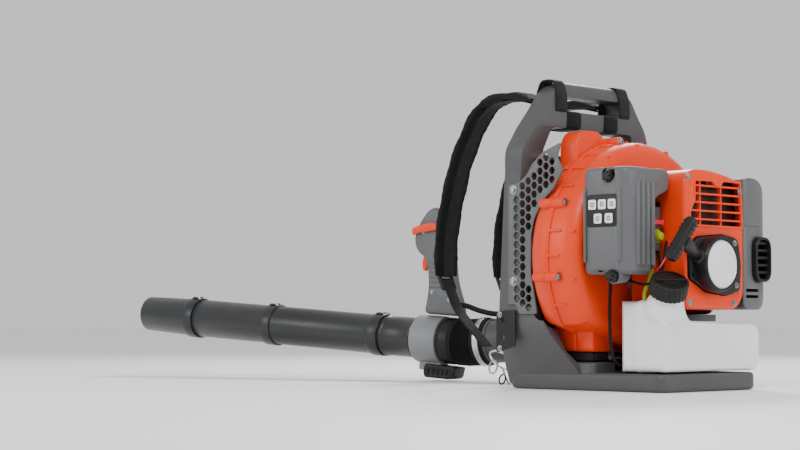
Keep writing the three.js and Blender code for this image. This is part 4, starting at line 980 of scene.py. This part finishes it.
# ---- Air path ----
def elbow():
    arc = [(152, 74 - 49 * cos(radians(a)), 127 - 49 * sin(radians(a))) for a in range(0, 91, 15)]
    end = [tuple(ELBOW_FRAME @ Vector((0, y, 0))) for y in (-120, -70, -26)]
    path = [*arc, (152, 140, 78), (151, 205, 79.5), *end]
    body = tube(path, 40, 64, 110)
    flange = prism(rectangle(107, 197, -18, 70, 10), 110, 121.6, "Z", 1.2)
    band = moved(lathe([(39, -56.5), (41.4, -56), (41.4, -52), (39, -51.5)]), ELBOW_FRAME)
    weld(body, flange, band)
    inner_end = tuple(ELBOW_FRAME @ Vector((0, -15, 0)))
    cut(body, tube([(152, 25, 140), *path, inner_end], 37, 64, 110), box(90, 220, -40, 90, 121.7, 200))
    dress(body, "elbow_shell", "frame_plastic", "outlet_elbow", edges=0.6)


HOSE_SIDES = 96
HOSE_BEND = 40


def corrugated(profile):
    """The hose between the elbow's line and the tube's line: rings of the profile's radius along a bend."""
    points = []
    start = ELBOW_FRAME.to_quaternion()
    end = TUBE_FRAME.to_quaternion()
    for r, at in profile:
        share = min(1, max(0, at / HOSE_BEND + 0.5))
        turn = start.slerp(end, share)
        middle = ((ELBOW_FRAME if at < 0 else TUBE_FRAME) @ Vector((0, at, 0)))
        points += [middle + turn @ Vector((r * cos(a), 0, r * sin(a))) for a in angles(HOSE_SIDES)]
    return from_lists(points, skin(len(profile), HOSE_SIDES))


def fold_profile(low, high, cuff_low, cuff_high, pitch=6.4):
    """Radius and place of the outside of the hose: plain cuffs and round folds between them."""
    steps = 10
    outer = []
    if low < cuff_low:
        outer += [(42.6, low), (43.2, low + 1), (43.2, cuff_low - 1)]
    folds = max(1, round((cuff_high - cuff_low) / pitch))
    for k in range(folds * steps + 1):
        phase = k / steps
        outer.append((41.4 + 2.3 * cos(2 * pi * phase), cuff_low
            + (cuff_high - cuff_low) * phase / folds))
    if cuff_high < high:
        outer += [(42.6, cuff_high + 1), (42.8, high - 1), (42.2, high)]
    return outer


def bellows():
    rear = fold_profile(-48, 0, -24, 0)
    front = fold_profile(0, 46, 0, 18)
    for name, outer, bore in (("bellows_rear", rear, [(37.4, 0), (37.4, -24.6), (40.4, -25.4),
            (40.4, -48)]), ("bellows_front", front, [(38.2, 46), (38.2, 16), (37.4, 14), (37.4, 0)])):
        made = corrugated(outer + bore)
        dress(made, name, "rubber", "hose_bellows", None)
        if name == "bellows_rear":
            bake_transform(made)
        else:
            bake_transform(made)


def clamps():
    rear = lathe([(43.9, -43), (45.3, -43.2), (45.3, -32), (43.9, -31.8)])
    worm = rod((46.5, -37.5, -9), (46.5, -37.5, 9), 4.6, sides=32, bevel=0.8)
    weld(rear, worm)
    dress(moved(rear, ELBOW_FRAME), "clamp_band_rear", "steel", "hose_clamp_rear", edges=0.3)
    front = lathe([(42.2, 25), (43.4, 26), (43.4, 44), (42.2, 45)])
    dress(moved(front, TUBE_FRAME), "clamp_band_front", "black_plastic", "hose_clamp_front", "hose_front",
        edges=0.3)


# ---- Blow tube ----
TUBE_OUTER = 37.5
TUBE_BORE = 35.3


def collar(y0, y1, radius):
    base = TUBE_OUTER
    return [(base, y0 - 1.6), (radius - 0.8, y0), (radius, y0 + 1.2), (radius, y1 - 1.2),
        (radius - 0.8, y1), (base, y1 + 1.6)]


def tube_part(name, start, end, socket, body, node, tip=TUBE_OUTER, extra=()):
    outer, inner = TUBE_OUTER, TUBE_BORE
    profile = []
    if socket:
        profile += [(40.0, start - 18), (40.5, start - 17), (40.5, start + 5), (39.8, start + 7),
            (outer, start + 9)]
    else:
        profile += [(outer, start)]
    for ring in extra:
        profile += collar(*ring)
    profile += [(tip, end - 1), (tip - 0.6, end)]
    bore = [(tip - 2.2, end)]
    if socket:
        bore += [(inner, start + 4), (inner, start + 1), (outer + 0.4, start + 0.2),
            (outer + 0.4, start - 18)]
    else:
        bore += [(inner, start)]
    made = lathe(profile + bore, sides=128)
    if socket:
        ramps = []
        for side in (1, -1):
            ring = [(start - 15, 39), (start + 2, 39), (start + 2, 40.9), (start - 2, 42.6),
                (start - 11, 42.6)]
            ramp = prism(outline(ring, 1), side * 9 - 4, side * 9 + 4, "X", 0.6)
            ramps.append(ramp)
        weld(made, *ramps)
    moved(made, TUBE_FRAME)
    return dress(made, name, "tube_plastic", node, body, edges=0.4)


def blow_tube():
    tube_part("tube_swivel", 18.5, 203, False, "swivel", "swivel_pipe", extra=((112, 116, 39.2),
        (175, 180, 39.0)))
    tube_part("tube_rear", 203.3, 459, True, "tube_rear", "blow_tube_rear", extra=((446, 450, 39.0),))
    tube_part("tube_front", 459.3, 658, True, "tube_front", "blow_tube_front")
    tube_part("tube_nozzle", 658.3, 779.6, True, "nozzle_end", "nozzle", tip=34.6)


# ---- Control handle ----
GRIP_EDGE = [(18, 47), (20, 66), (38, 110), (45, 150), (49, 190), (55, 225), (66, 243), (82, 249),
    (100, 242), (119, 214), (127, 190), (123, 170), (112, 158), (100, 152), (93, 132), (89, 100),
    (91, 74), (96, 47)]


def handle():
    for name, low, high, ends, node in (("grip_left", -18, -0.16, "low", "handle_grip_left"),
            ("grip_right", 0.16, 18, "high", "handle_grip_right")):
        half = prism(outline(GRIP_EDGE, 14, 6), low, high, "X", 8, 7, 7, ends)
        cut(half, rod((0, -10, 0), (0, 200, 0), 44.9, sides=72), prism(rectangle(76, 126, 120, 188, 3),
            -6, 6, "X"), rod((0, 6, 71), (0, 36, 62), 6))
        face = low if ends == "low" else high
        grooves = [prism(rectangle(30, 100, z, z + 1.6), face - 1, face + 1, "X") for z in range(96, 150,
            9)]
        cut(half, *grooves)
        dress(moved(half, TUBE_FRAME), name, "grey_plastic", node, "swivel", edges=0.6, angle=36)
    for n, (y, z) in enumerate(((40, 76), (78, 88), (60, 226), (104, 200))):
        place = TUBE_FRAME @ Vector((-17.6, y, z))
        out = TUBE_FRAME.to_quaternion() @ Vector((-1, 0, 0))
        screw(f"grip_screw_{n}", place, out, 2.8, "swivel")

    trigger_ring = outline([(90, 181), (97, 183), (102, 177), (109, 158), (113, 142), (110, 128),
        (104, 126), (100, 136), (97, 150), (91, 164)], 4)
    trigger = prism(trigger_ring, -5, 5, "X", 2, 2, 4)
    dress(moved(trigger, TUBE_FRAME), "trigger_blade", "orange_plastic", "throttle_trigger", "trigger")
    lever_ring = outline([(71, 205), (75, 218), (89, 218), (113, 212), (128, 206), (126, 192), (111, 198),
        (87, 202)], 5)
    lever = prism(lever_ring, -24.4, -18.4, "X", 1.6, 1.6, 4)
    dress(moved(lever, TUBE_FRAME), "cruise_arm", "orange_plastic", "cruise_lever", "cruise")

    ring = lathe([(37.9, 52), (43.6, 52), (44.5, 53), (44.5, 107), (43.6, 108), (37.9, 108)], sides=128)
    ears = prism(rectangle(-14, 14, -58, -40, 4), 52, 100, "Y", 1.5)
    weld(ring, ears)
    cut(ring, rod((0, 40, 0), (0, 120, 0), 37.8, sides=96), box(-1.5, 1.5, 50, 110, -62, -30))
    dress(moved(ring, TUBE_FRAME), "clamp_ring", "light_grey_plastic", "handle_clamp_ring", "swivel",
        edges=0.7)

    foot_ring = outline([(16, -47), (20, -68), (30, -71), (84, -71), (88, -60), (84, -45.2)], 5)
    foot = prism(foot_ring, -19, 19, "X", 2.4)
    cut(foot, prism(rectangle(-14.5, 14.5, -58.5, -30), 51.5, 120, "Y"), rod((0, 0, 0), (0, 120, 0), 45.3,
        sides=72), *[prism(rectangle(y, y + 5, -66, -54, 2), -30, -17.4, "X") for y in (30, 40, 50, 60,
        70)])
    dress(moved(foot, TUBE_FRAME), "foot_block", "black_plastic", "clamp_foot", "swivel", edges=0.6)


# ---- Control lines ----
SHEATH_IN_TUBE_FRAME = [(0, 33, 63), (0, 16, 68), (0, -20, 60), (0, -57, 57)]
SHEATH_TO_FRAME = [(108, 350, 128), (106, 290, 133), (102, 230, 138), (100, 190, 138), (100, 164, 137)]
INNER_CABLE = [(100, 138, 137), (98, 118, 100), (70, 106, 52), (10, 96, 40), (-30, 50, 38),
    (-34, -10, 38), (-70, -34, 36), (-104, -38, 46), (-116, -38, 80), (-120, -40, 130), (-122, -44, 178)]


def control_lines():
    route = [TUBE_FRAME @ Vector(p) for p in SHEATH_IN_TUBE_FRAME] + [Vector(p) for p in SHEATH_TO_FRAME]
    path = smooth_path(route, 160)
    spans = (("sheath_front", 0, 34, "hose_front", "swivel"), ("sheath_middle", 34, 52, "hose_rear",
        "hose_front"), ("sheath_rear", 52, 160, BACKPACK, "hose_rear"))
    for name, first, last, far, near in spans:
        part = tube(path[first:last + 1], 5, 20, (last - first) * 2)
        dress(part, name, "rubber", "throttle_cable", None)
        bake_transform(part)
    dress(tube(INNER_CABLE, 2.6, 14, 160), "inner_cable", "rubber", "control_cable")


# ---- Harness ----
PAD_PATH = [(134, 478), (181, 489), (231, 487), (268, 465), (297, 424), (319, 382), (335, 335),
    (348, 287), (355, 235), (355, 189)]
WEB_PATH = [(354.5, 184), (342, 160), (322, 127), (279, 87), (258, 68)]
STRAPS = {"left": (-85, 0), "right": (79, 14)}


def strip(path, x, section, count):
    """A strip along a path in the (y, z) plane. section gives (across, out) points at a share of its run."""
    points = smooth_path([(0, y, z) for y, z in path], count)
    rings = []
    for i, here in enumerate(points):
        way = (points[min(i + 1, count)] - points[max(i - 1, 0)]).normalized()
        out = Vector((0, -way.z, way.y))
        rings.append([here + Vector((x + a, 0, 0)) + out * b for a, b in section(i / count)])
    return layered(rings)


def pad_section(share):
    """A quilted pad: crowned faces, pinched at the seams across it and at its bound edges."""
    half_wide, half_thick = 27.0, 7.4
    quilt = 0.5 - 0.5 * cos(2 * pi * share * 7)
    thick = half_thick * (0.62 + 0.38 * quilt ** 0.5) * min(1, 0.5 + 6 * share, 0.5 + 6 * (1 - share))
    wide = half_wide * (1 - 0.03 * (1 - quilt))
    ring = []
    for a in angles(56):
        x = copysign(abs(cos(a)) ** 0.42, cos(a))
        y = copysign(abs(sin(a)) ** 0.62, sin(a))
        seam = 1 - 0.22 * exp(-((abs(x) - 0.78) / 0.05) ** 2)
        crease = 0.0
        if abs(y) > 0.4:
            crease = 0.3 * sin(61 * share * pi + 4 * x) + 0.25 * sin(37 * share * pi - 3 * x)
        ring.append((wide * x, thick * y * seam + crease))
    return ring


def band_section(half_wide, thick, out=0.0):
    low, high = out - thick / 2, out + thick / 2

    def section(_share):
        return outline([(-half_wide, low), (half_wide, low), (half_wide, high), (-half_wide, high)],
            thick * 0.45, 3)
    return section


def harness():
    for side, (x, reach) in STRAPS.items():
        pad_path = [(y + reach * min(1, (y - 134) / 100), z) for y, z in PAD_PATH]
        web_path = [(y + reach, z) for y, z in WEB_PATH]
        pad = strip(pad_path, x, pad_section, 320)
        dress(pad, f"shoulder_pad_{side}", "fabric", f"strap_pad_{side}", angle=60)
        outer = strip(pad_path, x, band_section(13, 1.8, -7.2), 120)
        dress(outer, f"pad_webbing_{side}", "webbing")
        web = strip(web_path, x, band_section(12.5, 2.4), 80)
        dress(web, f"lower_webbing_{side}", "webbing", f"strap_webbing_{side}")
        buckle(side, x, reach)
        hook(side, x, reach)
    loose_ends()
    back_pad()


def buckle(side, x, reach):
    """The adjuster below the pad: a frame with three bars, seen edge on from the side."""
    turn = Matrix.Translation(Vector((x, 353 + reach, 178)) * MM) @ Matrix.Rotation(radians(-24), 4, "X")
    plate = prism(rectangle(-17, 17, -15, 15, 4), -3, 3, "Y", 1.2)
    cut(plate, *[prism(rectangle(-13, 13, z, z + 6, 1.5), -10, 10, "Y") for z in (-11, 5)])
    plate.data.transform(turn)
    dress(plate, f"buckle_{side}", "black_plastic", edges=0.4)


def hook(side, x, reach):
    ring = []
    for i in range(97):
        a = 2 * pi * i / 96
        local = Vector((0, 15 * 2.1 * cos(a), 15 * 0.8 * sin(a)))
        turned = Matrix.Rotation(radians(22), 3, "X") @ local
        ring.append(turned + Vector((x, 221 + reach, 44)))
    points = []
    for i in range(96):
        way = (ring[i + 1] - ring[i - 1 if i else 95]).normalized()
        u = Vector((1, 0, 0))
        v = way.cross(u).normalized()
        points += circle(ring[i], u, v, 2.1, 12)
    dress(from_lists(points, skin(96, 12)), f"hook_{side}", "steel", f"strap_hook_{side}")


def loose_ends():
    """What hangs about the left hook: its anchor webbing, a hip cord's plain loop and a black pull loop."""
    for side, (x, reach) in STRAPS.items():
        anchor = strip([(199 + reach, 35), (193 + reach / 2, 25), (184, 17), (176.5, 12)], x,
            band_section(11, 2.2), 24)
        dress(anchor, f"anchor_webbing_{side}", "webbing")
    x = -101
    for name, y, z, across, up, radius, paint in (("hip_cord_loop", 229, 33, 9, 10.5, 1.5, "silver_cord"),
            ("pull_loop", 208, 13, 7, 8, 1.3, "webbing")):
        ring = [(x + 2.5 * sin(a), y + across * cos(a), z + up * sin(a)) for a in [radians(20 + 30 * k)
            for k in range(13)]]
        dress(tube(ring, radius, 12, 72), name, paint)
    ends = [(x, 220, 38), (-97, 211, 30), (-99, 203, 17), (-98, 195, 4)]
    dress(tube(ends, 1.5, 12, 40), "hip_cord_end", "silver_cord")


def back_pad():
    """The pad against the wearer's back: crowned, with three sewn channels down it."""
    across, up = 72, 84
    low, high = 156, 369
    points = []
    for face in (0, 1):
        for j in range(up + 1):
            z = low + (high - low) * j / up
            for i in range(across + 1):
                x = -113 + 226 * i / across
                edge = min(i / across, 1 - i / across) * 226
                rise = min(j / up, 1 - j / up) * (high - low)
                round_over = min(1, edge / 16) ** 0.5 * min(1, rise / 16) ** 0.5
                channel = sum(exp(-((x - c) / 3.2) ** 2) for c in (-56, 0, 56)) * min(1, rise / 20)
                thick = 3 + 17 * round_over - 7 * channel * round_over
                y = front_at(z) - 5.4 + (thick if face else 0)
                points.append((x, min(y, 173.8), z))
    row = across + 1
    size = row * (up + 1)
    faces = []
    for j in range(up):
        for i in range(across):
            a = j * row + i
            faces.append((a, a + 1, a + row + 1, a + row))
            faces.append((size + a, size + a + 1, size + a + row + 1, size + a + row))
    rim = [*range(across)] + [j * row + across for j in range(up)]
    rim += [up * row + i for i in range(across, 0, -1)] + [j * row for j in range(up, 0, -1)]
    for k, a in enumerate(rim):
        b = rim[(k + 1) % len(rim)]
        faces.append((a, b, size + b, size + a))
    pad = from_lists(points, faces)
    dress(pad, "back_cushion", "fabric", "back_pad", angle=60)


# ---- Trim on the frame ----
def loop_round(name, x, wide, ring, paint="webbing"):
    """A band of webbing wrapped round a bar: ring holds its outside in (y, z)."""
    outer = prism(outline(ring, 9, 8), x - wide / 2, x + wide / 2, "X", 0.6, 0.6, 2)
    cut(outer, prism(outline(inset(ring, 1.8), 8, 8), x - wide, x + wide, "X"))
    return dress(outer, name, paint)


def frame_trim():
    for n, (x, wide) in enumerate(((-85, 27), (79, 27))):
        loop_round(f"top_loop_{n}", x, wide, [(138, 455), (133.6, 486), (123, 510.4), (96, 510.4),
            (87, 486), (86.6, 455)])
    for n, x in enumerate((-52, 44)):
        loop_round(f"bar_loop_{n}", x, 34, [(140, 428.6), (136, 459.6), (87.6, 459.6), (88.4, 428.6)],
            "fabric")
    plate = prism(outline([(118.4, 70), (160.2, 58.6), (160.2, 125.6), (118.4, 129.6)], 5), -167.8,
        -165.6, "X", 0.5)
    cut(plate, *[rod((-180, 145, z), (-150, 145, z), 4.2) for z in (84, 112)])
    dress(plate, "harness_plate", "black_plastic", "harness_bracket", edges=0.3)
    for n, z in enumerate((66, 121)):
        screw(f"plate_screw_{n}", (-167.6, 152, z), (-1, 0, 0), 3.4)
    for n, x in enumerate((-78, 74)):
        pin = rod((x, -9, 52), (x, -3, 52), 5, sides=6)
        dress(pin, f"mount_bolt_{n}", "screw_steel", edges=0.4)
    feet = [(-100, -128), (100, -128), (-100, 150), (100, 150)]
    for n, (x, y) in enumerate(feet):
        foot = prism(rectangle(x - 14, x + 14, y - 8, y + 8, 6), 0.2, 3, "Z", 0.6)
        dress(foot, f"tray_foot_{n}", "rubber")


studio()
fan_housing()
frame_body()
for grille_side in ("left", "right"):
    grille(grille_side)
exhaust_side()
engine_cover()
starter()
filter_cover()
intake_details()
fuel_tank()
elbow()
bellows()
clamps()
blow_tube()
handle()
control_lines()
harness()
frame_trim()
carried()
